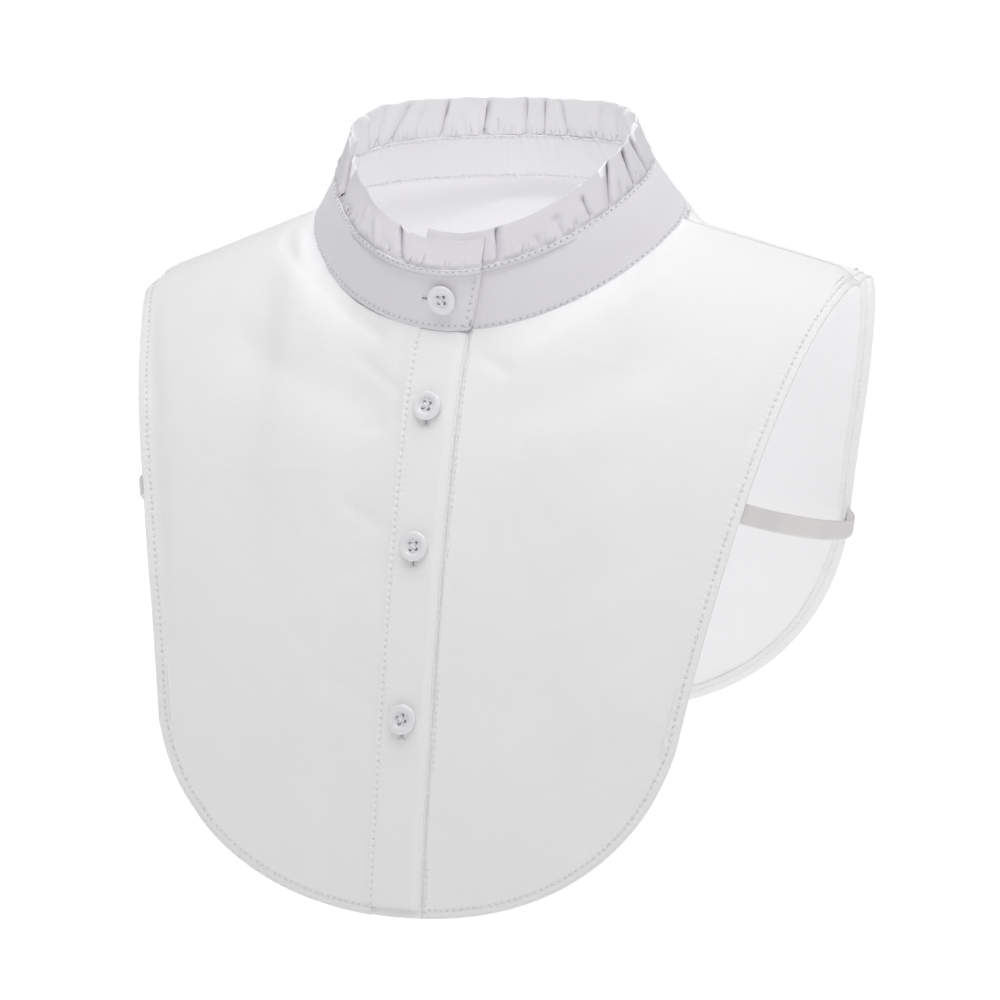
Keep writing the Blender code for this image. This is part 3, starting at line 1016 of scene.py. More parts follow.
def panel_seam(name):
    """The seat of a point by the hem's seam: the way along it and how far inside it."""
    lengths = lined_up(hem_seam(name))
    near = KDTree(len(EDGES[name]))
    for index, point in enumerate(EDGES[name]):
        near.insert(point.place, index)
    near.balance()

    def seat(place, column, row):
        _, index, distance = near.find(place)
        return lengths[index], distance - STITCH_INSET

    return seat


def finish_panel(name):
    cloth = PANELS[name]
    map_weave(cloth)
    map_seam(cloth, panel_seam(name))
    PANEL_AREAS[name] = area_of(cloth.bm)
    # Painted light: the back takes the lighter copy of the white.
    material = PAINTED_LIGHT_COTTON if name == "back" else COTTON
    return thicken(finished(name + "_cloth", cloth.bm, material, name), COTTON_THICK)


PANEL_PIECES = {name: finish_panel(name) for name in PANELS}
for name, area in PANEL_AREAS.items():
    print(name, "is cut from", round(area, 4), "m2")

# %% [markdown]
# Two strips close the front. The upper one carries the buttonholes. Its left side is folded to a
# narrow stitched ridge and its right side is a plain fold. The lower strip shows beside it, with a
# double row of stitches. Both are folded cloth, so they are thicker than the panels.

# %% Plackets
PLACKET_COLUMNS = 34
PLACKET_ROWS = 170
RIDGE_WIDTH = 1.9
RIDGE_HEIGHT = 0.3
UNDER_RIDGE_HEIGHT = 0.28
EDGE_DROP = 0.9
EDGE_DROP_REACH = 3.5
FOLDED_THICK = 0.9
PLACKET_HEM = 5.0
QUILT = 0.12


def closure_line(x, down, hem_share):
    point = bib_point(0.0, down * hem_share, abs(x), True)
    return Vector((x, point.y, point.z))


def make_placket(x_from, x_to, height, hem_share, ridge_at, ridge_height, seed):
    """A strip down the closure. The ridge is a raised border along one of its edges."""

    def surface(along, down):
        return closure_line(mix(x_from, x_to, along), down, hem_share)

    def place(column, row):
        along, down = column / PLACKET_COLUMNS, row / PLACKET_ROWS
        point = surface(along, down)
        length = down * (FRONT.hem_z - top_point(0, 0, True).z)
        from_ridge = abs(point.x - ridge_at)
        rise = height + ridge_height * (1 - smooth((from_ridge - RIDGE_WIDTH + 0.3) / 0.6))
        if x_to == EDGE_LEFT:
            rise -= EDGE_DROP * (1 - smooth((x_to - point.x) / EDGE_DROP_REACH))
        rise += QUILT * ripple(point.x, length, 11.0, seed) * smooth(down * 12)
        rise += QUILT * 0.6 * ripple(point.x * 0.6, length, 3.1, seed + 3) * bell(from_ridge, 3.0)
        return point - normal_of(surface, along, down) * rise

    cloth = cloth_grid(PLACKET_COLUMNS, PLACKET_ROWS, place)
    bmesh.ops.reverse_faces(cloth.bm, faces=cloth.bm.faces)
    cloth.bm.normal_update()
    return cloth


EDGE_RIGHT = CLOSURE_X - PLACKET_HALF
EDGE_LEFT = CLOSURE_X + PLACKET_HALF
UNDER_EDGE = EDGE_LEFT + UNDER_PLACKET_EXTRA
TOP_HEIGHT = LAYER + PLACKET_THICK
STRIPS = {
    "placket_left": make_placket(EDGE_RIGHT, UNDER_EDGE, CLOTH, 1.0, UNDER_EDGE, UNDER_RIDGE_HEIGHT, 4.0),
    "placket_right": make_placket(
        EDGE_RIGHT, EDGE_LEFT, TOP_HEIGHT, PLACKET_HEM_SHARE, EDGE_RIGHT, RIDGE_HEIGHT, 6.0
    ),
}
for name, cloth in STRIPS.items():
    TREES[name] = BVHTree.FromBMesh(cloth.bm)
    print(name, "strip", round(area_of(cloth.bm), 5), "m2")

# %% Placket stitches
RidgeSeam = namedtuple("RidgeSeam", "strip x")
PLACKET_SEAMS = (
    RidgeSeam("placket_right", EDGE_RIGHT + 1.5),
    RidgeSeam("placket_left", UNDER_EDGE - 0.7),
    RidgeSeam("placket_left", UNDER_EDGE - 1.9),
)


SEAM_TOP_Z = -25.5
SEAM_HEM_Z = FRONT.hem_z + 1.8


def column_line(x, z_from, z_to, steps=400):
    """A line down the closure at one x, as points near the cloth."""
    points = []
    for step in range(steps + 1):
        down = step / steps
        point = closure_line(x, down, 1.0)
        if z_to <= point.z <= z_from:
            points.append(point)
    return points


def make_placket_stitches(strip):
    bm = bmesh.new()
    for seam in PLACKET_SEAMS:
        if seam.strip == strip:
            sew(bm, column_line(seam.x, SEAM_TOP_Z, SEAM_HEM_Z), TREES[strip])
    low = FRONT.hem_z + PLACKET_HEM
    x_to = EDGE_LEFT if strip == "placket_right" else UNDER_EDGE
    sew(bm, [Vector((mix(EDGE_RIGHT + 1, x_to - 1, step / 12), -140, low)) for step in range(13)], TREES[strip])
    return finished(strip + "_stitches", bm, THREAD)


PLACKET_STITCHES = {strip: make_placket_stitches(strip) for strip in STRIPS}
print("placket stitches:", ", ".join(obj.name for obj in PLACKET_STITCHES.values()))

# %% The plackets as pieces
def strip_seam(name):
    """The seat of a point by the nearest of the strip's seams."""
    seams = [seam.x for seam in PLACKET_SEAMS if seam.strip == name]
    line = column_line(seams[0], SEAM_TOP_Z, SEAM_HEM_Z)
    lengths = lined_up(line)
    heights = [-point.z for point in line]

    def seat(place, column, row):
        index = min(max(bisect(heights, -place.z), 1), len(line) - 1)
        share = (-place.z - heights[index - 1]) / (heights[index] - heights[index - 1])
        x = min(seams, key=lambda x: abs(place.x - x))
        off = place.x - x if x == min(seams) else x - place.x
        return mix(lengths[index - 1], lengths[index], share), off

    return seat


def finish_strip(name):
    cloth = STRIPS[name]
    map_weave(cloth)
    map_seam(cloth, strip_seam(name))
    area = area_of(cloth.bm)
    obj = thicken(finished(name + "_cloth", cloth.bm, COTTON, name), FOLDED_THICK, 0.3)
    width = area / 0.214
    return width


for name in STRIPS:
    print(name, "is", round(finish_strip(name) / MM, 1), "mm wide")

# %% [markdown]
# The stand is a band of two layers that stands up round the neck, with the ruffle caught between them.
# Its free end laps over the other at the front. The layers draw together at the ends and along the top,
# where the cloth is folded in. Stitching draws small upright puckers into it, most of all inside.

# %% Stand collar as a formula
STAND_UNDER_X = -14.0
STAND_END_LOW_X = 7.0
STAND_END_HIGH_X = 13.0
STAND_LIFT = 2 * LAYER
STAND_LIFT_FROM = radians(296)
STAND_LIFT_TO = radians(346)
STAND_START = turn_at(NECK_SEAM, STAND_UNDER_X)
STAND_END_LOW = turn_at(NECK_SEAM, STAND_END_LOW_X) + 2 * pi
STAND_END_HIGH = turn_at(RUFFLE_SEAM, STAND_END_HIGH_X) + 2 * pi
STAND_HEIGHT = 24.0
MM_PER_TURN = 66.0
STAND_FOOT = 0.015
LAPPED_FOOT = 0.075
FOOT_FLARE = 0.5
STAND_THICK = 0.8
INNER_INSET = 1.5
END_ROLL = 0.3
END_ROLL_REACH = 1.2
PUCKER = 0.13
INNER_PUCKER = 0.4


def stand_turn(along, rise):
    """The angle at a share of the way round. The upper end's edge leans out towards its top."""
    return mix(STAND_START, mix(STAND_END_LOW, STAND_END_HIGH, rise), along)


def lap_share(turn):
    """0 on most of the stand, and 1 on the end that laps over the other."""
    return smooth((turn - STAND_LIFT_FROM) / (STAND_LIFT_TO - STAND_LIFT_FROM))


def stand_point(turn, rise, inset=0.0):
    """A point of the stand, moved in from its outer face by inset."""
    point = on_ring(NECK_SEAM, turn).lerp(on_ring(RUFFLE_SEAM, turn), rise)
    return point + wall_out(NECK_SEAM, RUFFLE_SEAM, turn) * (STAND_LIFT * lap_share(turn) - inset)


def stand_relief(turn, rise, inner):
    """Puckers along the seams and a slow unevenness, in millimetres outwards."""
    around, up = turn * MM_PER_TURN, rise * STAND_HEIGHT
    seams = bell(up - STAND_HEIGHT, 5.0) + bell(up, 4.0)
    fine = ripple(around, up * 0.12, 2.3, 11.0 if inner else 12.0)
    slow = ripple(around, up * 0.8, 17.0, 13.0)
    if inner:
        return INNER_PUCKER * fine * (0.45 + 0.55 * seams) + 0.2 * slow
    return PUCKER * fine * seams + 0.3 * slow * sin(pi * min(max(rise, 0.0), 1.0))


def stand_face(turn, rise, inner):
    """A point of the outer layer's outer face, or of the inner layer's outer face."""
    ends = min(turn - STAND_START, mix(STAND_END_LOW, STAND_END_HIGH, rise) - turn) * MM_PER_TURN
    roll = END_ROLL * max(1 - ends / END_ROLL_REACH, 0.0) ** 2
    roll = max(roll, END_ROLL * 0.1 * max(1 - (1 - rise) * STAND_HEIGHT / END_ROLL_REACH, 0.0) ** 2)
    inset = INNER_INSET - roll if inner else roll - FOOT_FLARE * (1 - smooth(rise / 0.35))
    return stand_point(turn, rise, inset - stand_relief(turn, rise, inner))


print("the stand is", STAND_HEIGHT, "mm high")

# %% The stand's two layers
STAND_COLUMNS = 620
STAND_ROWS = 22


def make_stand(inner):
    def place(column, row):
        along = column / STAND_COLUMNS
        foot = mix(STAND_FOOT, LAPPED_FOOT, lap_share(stand_turn(along, 0.0)))
        rise = mix(1.0, foot, row / STAND_ROWS)
        return stand_face(stand_turn(along, rise), rise, inner)

    cloth = cloth_grid(STAND_COLUMNS, STAND_ROWS, place)
    bmesh.ops.reverse_faces(cloth.bm, faces=cloth.bm.faces)
    cloth.bm.normal_update()
    return cloth


STANDS = {"stand_outer": make_stand(False), "stand_inner": make_stand(True)}
for name, cloth in STANDS.items():
    TREES[name] = BVHTree.FromBMesh(cloth.bm)
    print(name, "layer", round(area_of(cloth.bm), 5), "m2")

# %% [markdown]
# One row of topstitching runs along the top of the stand, down its free end and back along the foot.
# The same seam shows inside along the top and the foot.

# %% Stand stitches
TOP_SEAM_IN = 0.8
FOOT_SEAM_UP = 1.9
END_SEAM_IN = 1.8
SEAM_START = 0.03
END_SEAM_LENGTH = STAND_HEIGHT * (1 - LAPPED_FOOT) - TOP_SEAM_IN - FOOT_SEAM_UP


def stand_line(rise_mm, turn_from, turn_to, steps=400):
    rise = rise_mm / STAND_HEIGHT
    return [stand_point(mix(turn_from, turn_to, step / steps), rise) for step in range(steps + 1)]


def stand_end_line(steps=20):
    points = []
    for step in range(steps + 1):
        rise = mix(1 - TOP_SEAM_IN / STAND_HEIGHT, LAPPED_FOOT + FOOT_SEAM_UP / STAND_HEIGHT, step / steps)
        points.append(stand_point(stand_turn(1.0, rise) - END_SEAM_IN / MM_PER_TURN, rise))
    return points


def foot_line(steps=400):
    """The seam along the foot, which keeps its distance from the rising foot of the lapped end."""
    points = []
    for step in range(steps + 1):
        turn = mix(STAND_START + SEAM_START, STAND_END_LOW - END_SEAM_IN / MM_PER_TURN, step / steps)
        rise = mix(STAND_FOOT, LAPPED_FOOT, lap_share(turn)) + FOOT_SEAM_UP / STAND_HEIGHT
        points.append(stand_point(turn, rise))
    return points


def make_stand_stitches():
    bm = bmesh.new()
    top = STAND_HEIGHT - TOP_SEAM_IN
    top_end = STAND_END_HIGH - END_SEAM_IN / MM_PER_TURN
    outer, inner = TREES["stand_outer"], TREES["stand_inner"]
    count = sew(bm, stand_line(top, STAND_START + SEAM_START, top_end), outer)
    count += sew(bm, stand_end_line(), outer)
    count += sew(bm, foot_line(), outer)
    count += sew(bm, stand_line(top, STAND_START + SEAM_START, top_end), inner, STAND_THICK, True)
    count += sew(bm, foot_line(), inner, STAND_THICK, True)
    print("the stand has", count, "stitches")
    return finished("stand_stitches", bm, THREAD)


STAND_STITCHES = make_stand_stitches()

# %% The stand as pieces
STAND_LENGTH = 0.405


def stand_seam(inner):
    """The seat of a point by the nearest of the top seam, the foot seam and the end seam."""
    top_from, top_to = STAND_START + SEAM_START, STAND_END_HIGH - END_SEAM_IN / MM_PER_TURN
    foot_to = STAND_END_LOW - END_SEAM_IN / MM_PER_TURN
    top_lengths = lined_up(stand_line(STAND_HEIGHT - TOP_SEAM_IN, top_from, top_to))
    foot_lengths = lined_up(foot_line())

    def length_at(lengths, turn, turn_from, turn_to):
        share = (turn - turn_from) / (turn_to - turn_from) * (len(lengths) - 1)
        index = min(max(int(share), 0), len(lengths) - 2)
        return mix(lengths[index], lengths[index + 1], share - index)

    def seat(place, column, row):
        along = column / STAND_COLUMNS
        foot = mix(STAND_FOOT, LAPPED_FOOT, lap_share(stand_turn(along, 0.0)))
        rise = mix(1.0, foot, row / STAND_ROWS)
        turn = stand_turn(along, rise)
        from_top = (1 - rise) * STAND_HEIGHT - TOP_SEAM_IN
        from_foot = (rise - foot) * STAND_HEIGHT - FOOT_SEAM_UP
        round_end = top_lengths[-1] + from_top
        past_foot = foot_lengths[-1] - length_at(foot_lengths, turn, top_from, foot_to)
        seats = [
            (length_at(top_lengths, turn, top_from, top_to), from_top),
            (top_lengths[-1] + END_SEAM_LENGTH + past_foot, from_foot),
        ]
        if not inner:
            seats.append((round_end, (stand_turn(1.0, rise) - turn) * MM_PER_TURN - END_SEAM_IN))
        return min(seats, key=lambda seat: abs(seat[1]))

    return seat


def finish_stand(name):
    cloth = STANDS[name]
    map_weave(cloth)
    map_seam(cloth, stand_seam(name == "stand_inner"))
    area = area_of(cloth.bm)
    outer = name == "stand_outer"
    # Painted shade on the outer layer's darker copy of the white, painted light on the inner layer's lighter copy.
    material = PAINTED_SHADE_STAND_COTTON if outer else PAINTED_LIGHT_COTTON
    obj = thicken(finished(name + "_cloth", cloth.bm, material, name), STAND_THICK, 0.25)
    area / STAND_LENGTH
    return area / STAND_LENGTH


for name in STANDS:
    print(name, "is", round(finish_stand(name) / MM, 1), "mm wide")

# %% [markdown]
# The ruffle is a strip folded lengthwise, gathered and caught in the stand. Its fold is the smooth rim.
# Broad plain stretches lie between deep tucks, whose lips part and show a dark slit, and tiny gathers
# crowd along the seam. Each tuck is a row below: its angle at the seam and at the rim, its depth, half
# width and lean, and the share of the height between which it is open. Tucks that are seen from
# inside the neck have a depth below zero. The tiny gathers come from an even noise.

# %% The ruffle's tucks
Tuck = namedtuple("Tuck", "seam rim depth width lean low high")
TUCKS = (
    Tuck(20.0, 18.5, 3.6, 1.2, 1.5, -0.3, 1.1),
    Tuck(28.5, 27.0, 0.9, 1.2, 0.0, -0.3, 0.35),
    Tuck(34.0, 32.0, 1.0, 1.6, 0.4, -0.3, 0.5),
    Tuck(41.5, 40.0, 1.7, 2.2, -0.6, -0.3, 0.75),
    Tuck(48.0, 47.0, 0.8, 1.3, 0.3, -0.3, 0.4),
    Tuck(53.5, 51.0, 2.6, 1.1, -1.2, -0.3, 0.8),
    Tuck(61.5, 65.5, 4.8, 1.6, -3.2, -0.3, 1.1),
    Tuck(69.0, 70.0, 1.0, 1.5, 0.5, -0.3, 0.5),
    Tuck(76.0, 75.5, 4.2, 1.5, -2.8, -0.3, 1.1),
    Tuck(89.0, 84.5, 3.8, 1.5, -2.4, -0.3, 1.1),
    Tuck(97.0, 99.0, 3.2, 1.5, 1.8, -0.3, 1.1),
    Tuck(107.0, 105.0, 1.4, 1.8, -0.7, -0.3, 0.8),
    Tuck(116.0, 118.0, 3.0, 1.4, -1.6, -0.3, 1.1),
    Tuck(126.0, 124.0, -1.6, 1.7, 1.0, -0.3, 1.1),
    Tuck(141.5, 134.0, -1.9, 2.2, 1.0, -0.3, 1.1),
    Tuck(152.0, 144.0, -1.7, 2.2, -0.9, -0.3, 1.1),
    Tuck(166.5, 165.5, -3.2, 1.3, 1.3, -0.3, 1.1),
    Tuck(176.5, 172.0, -2.8, 1.2, -1.2, -0.3, 1.1),
    Tuck(186.5, 183.0, -2.8, 1.3, 1.1, -0.3, 1.1),
    Tuck(197.0, 195.5, -1.2, 0.9, 0.4, -0.3, 0.6),
    Tuck(202.0, 197.5, -3.4, 1.4, -1.5, -0.3, 1.1),
    Tuck(209.5, 210.5, -1.0, 1.6, 0.4, -0.3, 0.7),
    Tuck(218.5, 215.0, -3.0, 1.3, 1.4, -0.3, 1.1),
    Tuck(228.0, 223.0, -1.2, 1.8, -0.6, -0.3, 0.9),
    Tuck(239.5, 231.0, -2.2, 2.3, 1.2, -0.3, 1.1),
    Tuck(245.0, 241.0, -1.7, 1.9, -0.9, -0.3, 1.1),
    Tuck(256.0, 259.0, 3.0, 1.5, 1.5, -0.3, 1.1),
    Tuck(267.0, 265.0, 1.5, 1.9, -0.7, -0.3, 0.9),
    Tuck(276.0, 279.0, 2.8, 1.4, -1.4, -0.3, 1.1),
    Tuck(288.0, 286.0, 1.4, 1.7, 0.6, -0.3, 0.8),
    Tuck(301.0, 294.0, 5.0, 1.6, 3.2, -0.3, 1.1),
    Tuck(309.0, 308.0, 1.0, 1.4, 0.0, -0.3, 0.4),
    Tuck(320.0, 318.0, -0.9, 1.8, 0.0, -0.3, 0.9),
    Tuck(329.5, 323.0, -1.0, 1.7, 0.3, -0.3, 0.8),
    Tuck(335.0, 330.0, 0.9, 1.3, 0.0, -0.3, 0.4),
    Tuck(341.5, 335.5, 4.4, 1.2, 1.6, -0.3, 1.1),
    Tuck(350.0, 347.0, 1.3, 0.8, 0.0, -0.3, 0.45),
)
LAPPED_RIM_DROP = 2.5
ROOT_DEPTH = 2.2
PLY_HALF = 0.32
ROOT_PLY_HALF = 0.18
GATHER = 2.4
GATHER_WAVE = 2.4
WAVE = 0.8
RIM_WAVE = 0.4
PUFF = 0.8
PLAIN_REACH = radians(22)


def tuck_shift(turn, rise):
    """How far the tucks move the cloth outwards and along at a place, in millimetres."""
    outwards, along = 0.0, 0.0
    place = turn * MM_PER_TURN * 0.95
    for tuck in TUCKS:
        middle = radians(mix(tuck.seam, tuck.rim, rise)) * MM_PER_TURN * 0.95
        away = place - middle
        if abs(away) > 3 * tuck.width:
            continue
        window = smooth((rise - tuck.low) / 0.25) * (1 - smooth((rise - tuck.high + 0.25) / 0.25))
        share = bell(away, tuck.width) * window
        outwards -= tuck.depth * share
        along -= tuck.lean * share
    return outwards, along


def ruffle_middle(turn, rise):
    """A point of the ruffle between its two plies. Below 0 it is inside the stand."""
    low = stand_point(turn, 1.0, CLOTH + SEAM_GAP / 2)
    stand_out = wall_out(NECK_SEAM, RUFFLE_SEAM, turn)
    high = on_ring(RUFFLE_RIM, turn) + stand_out * STAND_LIFT * lap_share(turn)
    high.z -= LAPPED_RIM_DROP * lap_share(turn)
    up = (high - low).normalized()
    if rise < 0:
        return low + up * rise * STAND_HEIGHT
    out = wall_out(RUFFLE_SEAM, RUFFLE_RIM, turn)
    around = turn * MM_PER_TURN
    plain = smooth(min(turn - STAND_START, STAND_END_HIGH - turn) / PLAIN_REACH)
    free = smooth(rise / 0.12)
    outwards, along = tuck_shift(turn, rise)
    pinch = max(1 - abs(ripple(around, rise * 2, GATHER_WAVE, 21.0)), 0.0) ** 3
    reach = 0.3 + 0.2 * ripple(around, 0.0, 5.0, 24.0)
    gathers = GATHER * (pinch - 0.3) * max(1 - rise / reach, 0.0)
    gathers += WAVE * ripple(around, rise * 12, 13.0, 22.0) * rise
    outwards = outwards * free + gathers * free * mix(0.35, 1.0, plain)
    height = RIM_WAVE * ripple(around, 0.0, 9.0, 23.0) * rise * plain
    level_out = Vector((out.x, out.y, out.z * 0.15)).normalized()
    return low.lerp(high, rise) + level_out * outwards + up.cross(out) * along * free + up * height


print(len(TUCKS), "tucks round the ruffle")

# %% [markdown]
# The mesh follows the real folded strip: up the outer ply, round the fold of the rim and down the inner
# ply. The middle between the plies is laid first as a sheet of its own, which gives the way outwards at
# each point, and is thrown away after. The plies puff apart just above the seam, where they are free
# of the stand, so that the ruffle comes out level with it.

# %% The ruffle
RUFFLE_COLUMNS = 800
PLY_ROWS = 17
RIM_ANGLES = (30, 60, 90, 120, 150)
RUFFLE_HEIGHT = 15.5
RUFFLE_CLOTH = 0.16
ROOT_SHARE = ROOT_DEPTH / RUFFLE_HEIGHT


def rise_at(row):
    return mix(-ROOT_SHARE, 1.0, row / PLY_ROWS)


def turn_of(column):
    return stand_turn(column / RUFFLE_COLUMNS, 1.0)


def make_ruffle():
    middle = cloth_grid(RUFFLE_COLUMNS, PLY_ROWS, lambda column, row: ruffle_middle(turn_of(column), rise_at(row)))
    middle.bm.normal_update()
    points = [[(vert.co.copy(), vert.normal.copy()) for vert in line] for line in middle.grid]
    middle.bm.free()
    last = PLY_ROWS + len(RIM_ANGLES)

    def place(column, row):
        line = points[column]
        if PLY_ROWS < row <= last:
            point, normal = line[PLY_ROWS]
            up = (point - line[PLY_ROWS - 1][0]).normalized()
            angle = radians(RIM_ANGLES[row - PLY_ROWS - 1])
            return point + (normal * cos(angle) + up * sin(angle)) * PLY_HALF
        step = row if row <= PLY_ROWS else last + 1 + PLY_ROWS - row
        point, normal = line[step]
        half = mix(ROOT_PLY_HALF, PLY_HALF, smooth(rise_at(step) / 0.25))
        half += PUFF * smooth((rise_at(step) + 0.03) / 0.07) * (1 - smooth((rise_at(step) - 0.1) / 0.8))
        return point + normal * (half if row <= PLY_ROWS else -half)

    return cloth_grid(RUFFLE_COLUMNS, last + 1 + PLY_ROWS, place)


RUFFLE = make_ruffle()
map_weave(RUFFLE)
map_seam(RUFFLE)
RUFFLE_AREA = area_of(RUFFLE.bm)
# The ruffle's cloth is painted darker on its outer ply as shade and lighter on its inner ply as light.
RUFFLE_PIECE = thicken(finished("ruffle_cloth", RUFFLE.bm, PAINTED_SHADE_AND_LIGHT_RUFFLE_COTTON, "ruffle"), RUFFLE_CLOTH)
RUFFLE_AREA / (2 * (RUFFLE_HEIGHT + ROOT_DEPTH) * MM)
print("ruffle strip is", round(RUFFLE_AREA / (2 * (RUFFLE_HEIGHT + ROOT_DEPTH) * MM), 3), "m long")

# %% [markdown]
# A shirt button is turned: a flat disc with a raised, rounded rim and a dished middle with four holes.
# A profile spun about the axis makes it, and four rods cut the holes. The thread crosses between the
# holes, and a wound shank holds the button off the cloth.

# %% Buttons
BUTTON_RADIUS = 5.5
BUTTON_THICK = 2.2
HOLE_RADIUS = 0.66
HOLE_OFFSET = 1.15
BUTTON_SIDES = 64
ButtonPoint = namedtuple("ButtonPoint", "radius height")
BUTTON_PROFILE = (
    ButtonPoint(0.0, 0.30),
    ButtonPoint(2.3, 0.32),
    ButtonPoint(2.85, 0.42),
    ButtonPoint(3.1, 0.85),
    ButtonPoint(3.5, 1.06),
    ButtonPoint(4.5, 1.10),
    ButtonPoint(5.05, 1.02),
    ButtonPoint(5.38, 0.75),
    ButtonPoint(5.5, 0.35),
    ButtonPoint(5.42, -0.25),
    ButtonPoint(5.0, -0.75),
    ButtonPoint(4.2, -1.0),
    ButtonPoint(2.5, -1.1),
    ButtonPoint(0.0, -1.1),
)
HOLES = ((1, 1), (1, -1), (-1, -1), (-1, 1))


def spun_button():
    bm = bmesh.new()
    verts = [bm.verts.new((spot.radius, 0, spot.height)) for spot in BUTTON_PROFILE]
    edges = [bm.edges.new(pair) for pair in zip(verts, verts[1:])]
    bmesh.ops.spin(
        bm,
        geom=verts + edges,
        cent=(0, 0, 0),
        axis=(0, 0, 1),
        angle=2 * pi,
        steps=BUTTON_SIDES,
        use_merge=True,
        use_duplicate=False,
    )
    bmesh.ops.remove_doubles(bm, verts=bm.verts, dist=0.001)
    bmesh.ops.recalc_face_normals(bm, faces=bm.faces)
    return bm


def button_holes():
    bm = bmesh.new()
    for x_side, y_side in HOLES:
        bmesh.ops.create_cone(
            bm,
            cap_ends=True,
            segments=16,
            radius1=HOLE_RADIUS,
            radius2=HOLE_RADIUS,
            depth=2 * BUTTON_THICK,
            matrix=Matrix.Translation((x_side * HOLE_OFFSET, y_side * HOLE_OFFSET, 0)),
        )
    return bm


def plain_object(name, bm):
    mesh = bpy.data.meshes.new(name)
    bm.to_mesh(mesh)
    bm.free()
    obj = bpy.data.objects.new(name, mesh)
    bpy.context.scene.collection.objects.link(obj)
    return obj


def drilled_button():
    """The button's mesh with its holes cut, in millimetres about its own middle."""
    blank, rods = plain_object("button_blank", spun_button()), plain_object("button_rods", button_holes())
    cut = blank.modifiers.new("holes", "BOOLEAN")
    cut.operation = "DIFFERENCE"
    cut.object = rods
    bpy.context.view_layer.update()
    mesh = bpy.data.meshes.new_from_object(blank.evaluated_get(bpy.context.evaluated_depsgraph_get()))
    for obj in (blank, rods):
        bpy.data.objects.remove(obj)
    mesh.name = "drilled_button"
    return mesh


DRILLED = drilled_button()
print("button has", len(DRILLED.polygons), "faces")

# %% [markdown]
# Each button takes its place from its solid in the frame, and its tilt from the cloth under it. Sewn-on
# buttons never line up exactly, so each has its own turn.

# %% Place the buttons
ButtonSeat = namedtuple("ButtonSeat", "node cloth turn")
BUTTON_SEATS = (
    ButtonSeat("button_1", "stand_outer", 4),
    ButtonSeat("button_2", "placket_right", -9),
    ButtonSeat("button_3", "placket_right", 7),
    ButtonSeat("button_4", "placket_right", 24),
)


def button_place(seat):
    """The matrix that stands a button on its cloth, in millimetres."""
    low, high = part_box(seat.node)
    middle = (low + high) / 2 / MM
    _, out, _, _ = TREES[seat.cloth].find_nearest(middle)
    side = Vector((0, 0, 1)).cross(out).normalized()
    turn = Matrix((side, out.cross(side), out)).transposed()
    return Matrix.Translation(middle) @ turn.to_4x4() @ Matrix.Rotation(radians(seat.turn), 4, "Z")


def make_button(seat):
    bm = bmesh.new()
    bm.from_mesh(DRILLED)
    bmesh.ops.transform(bm, matrix=button_place(seat), verts=bm.verts)
    obj = finished(seat.node + "_resin", bm, RESIN, seat.node)
    obj.data.set_sharp_from_angle(angle=radians(40))
    return obj


for seat in BUTTON_SEATS:
    print(make_button(seat).name, "placed")

# %% Button thread
CROSS_HEIGHT = 0.62
CROSS_RADIUS = 0.22
SHANK_RADIUS = 1.3
SHANK_TURNS = 3


def make_button_thread(seat):
    """Thread that crosses between the holes, goes down through them and winds into a shank."""
    bm = bmesh.new()
    for start, end in ((0, 2), (1, 3)):
        for offset in (-0.2, 0.2):
            one = Vector((*HOLES[start], 0)) * HOLE_OFFSET
            two = Vector((*HOLES[end], 0)) * HOLE_OFFSET
            way = two - one
            side = Vector((-way.y, way.x, 0)).normalized() * offset
            middle = (one + two) / 2 + side + Vector((0, 0, CROSS_HEIGHT + 0.16 * start))
            bead(bm, middle, way, Vector((0, 0, 1)), way.length * 1.1, CROSS_RADIUS)
    for x_side, y_side in HOLES:
        spot = Vector((x_side * HOLE_OFFSET * 0.92, y_side * HOLE_OFFSET * 0.92, -0.2))
        bead(bm, spot, Vector((0, 0, 1)), Vector((1, 0, 0)), 1.9, HOLE_RADIUS * 0.3)
    for wind in range(SHANK_TURNS):
        for step in range(10):
            angle = 2 * pi * step / 10
            spot = Vector((cos(angle), sin(angle), 0)) * SHANK_RADIUS + Vector((0, 0, -1.25 - 0.25 * wind))
            bead(bm, spot, Vector((-sin(angle), cos(angle), 0)), Vector((0, 0, 1)), 1.1, 0.18)
    bmesh.ops.transform(bm, matrix=button_place(seat), verts=bm.verts)
    return finished(seat.node + "_thread", bm, THREAD)


for seat in BUTTON_SEATS:
    print(make_button_thread(seat).name, "sewn")

# %% [markdown]
# A buttonhole is a slit whose edges are covered with close satin stitches, with a bar across each end.
# The one in the stand lies level and those in the placket stand upright, as shirts have them. Each is
# a little longer than the button is wide, so one end shows beside the button.

# %% Buttonholes
Buttonhole = namedtuple("Buttonhole", "button cloth level reach_back reach_on")
BUTTONHOLES = (
    Buttonhole("button_1", "stand_outer", True, 9.0, 3.0),
    Buttonhole("button_2", "placket_right", False, 5.0, 7.6),
    Buttonhole("button_3", "placket_right", False, 5.0, 7.6),
    Buttonhole("button_4", "placket_right", False, 5.0, 7.2),
)
SATIN_PITCH = 0.42
SATIN_LENGTH = 1.15
SATIN_OFFSET = 0.72
SATIN_RADIUS = 0.2
BAR_LENGTH = 2.9
SLIT_SHOWS = 4.6


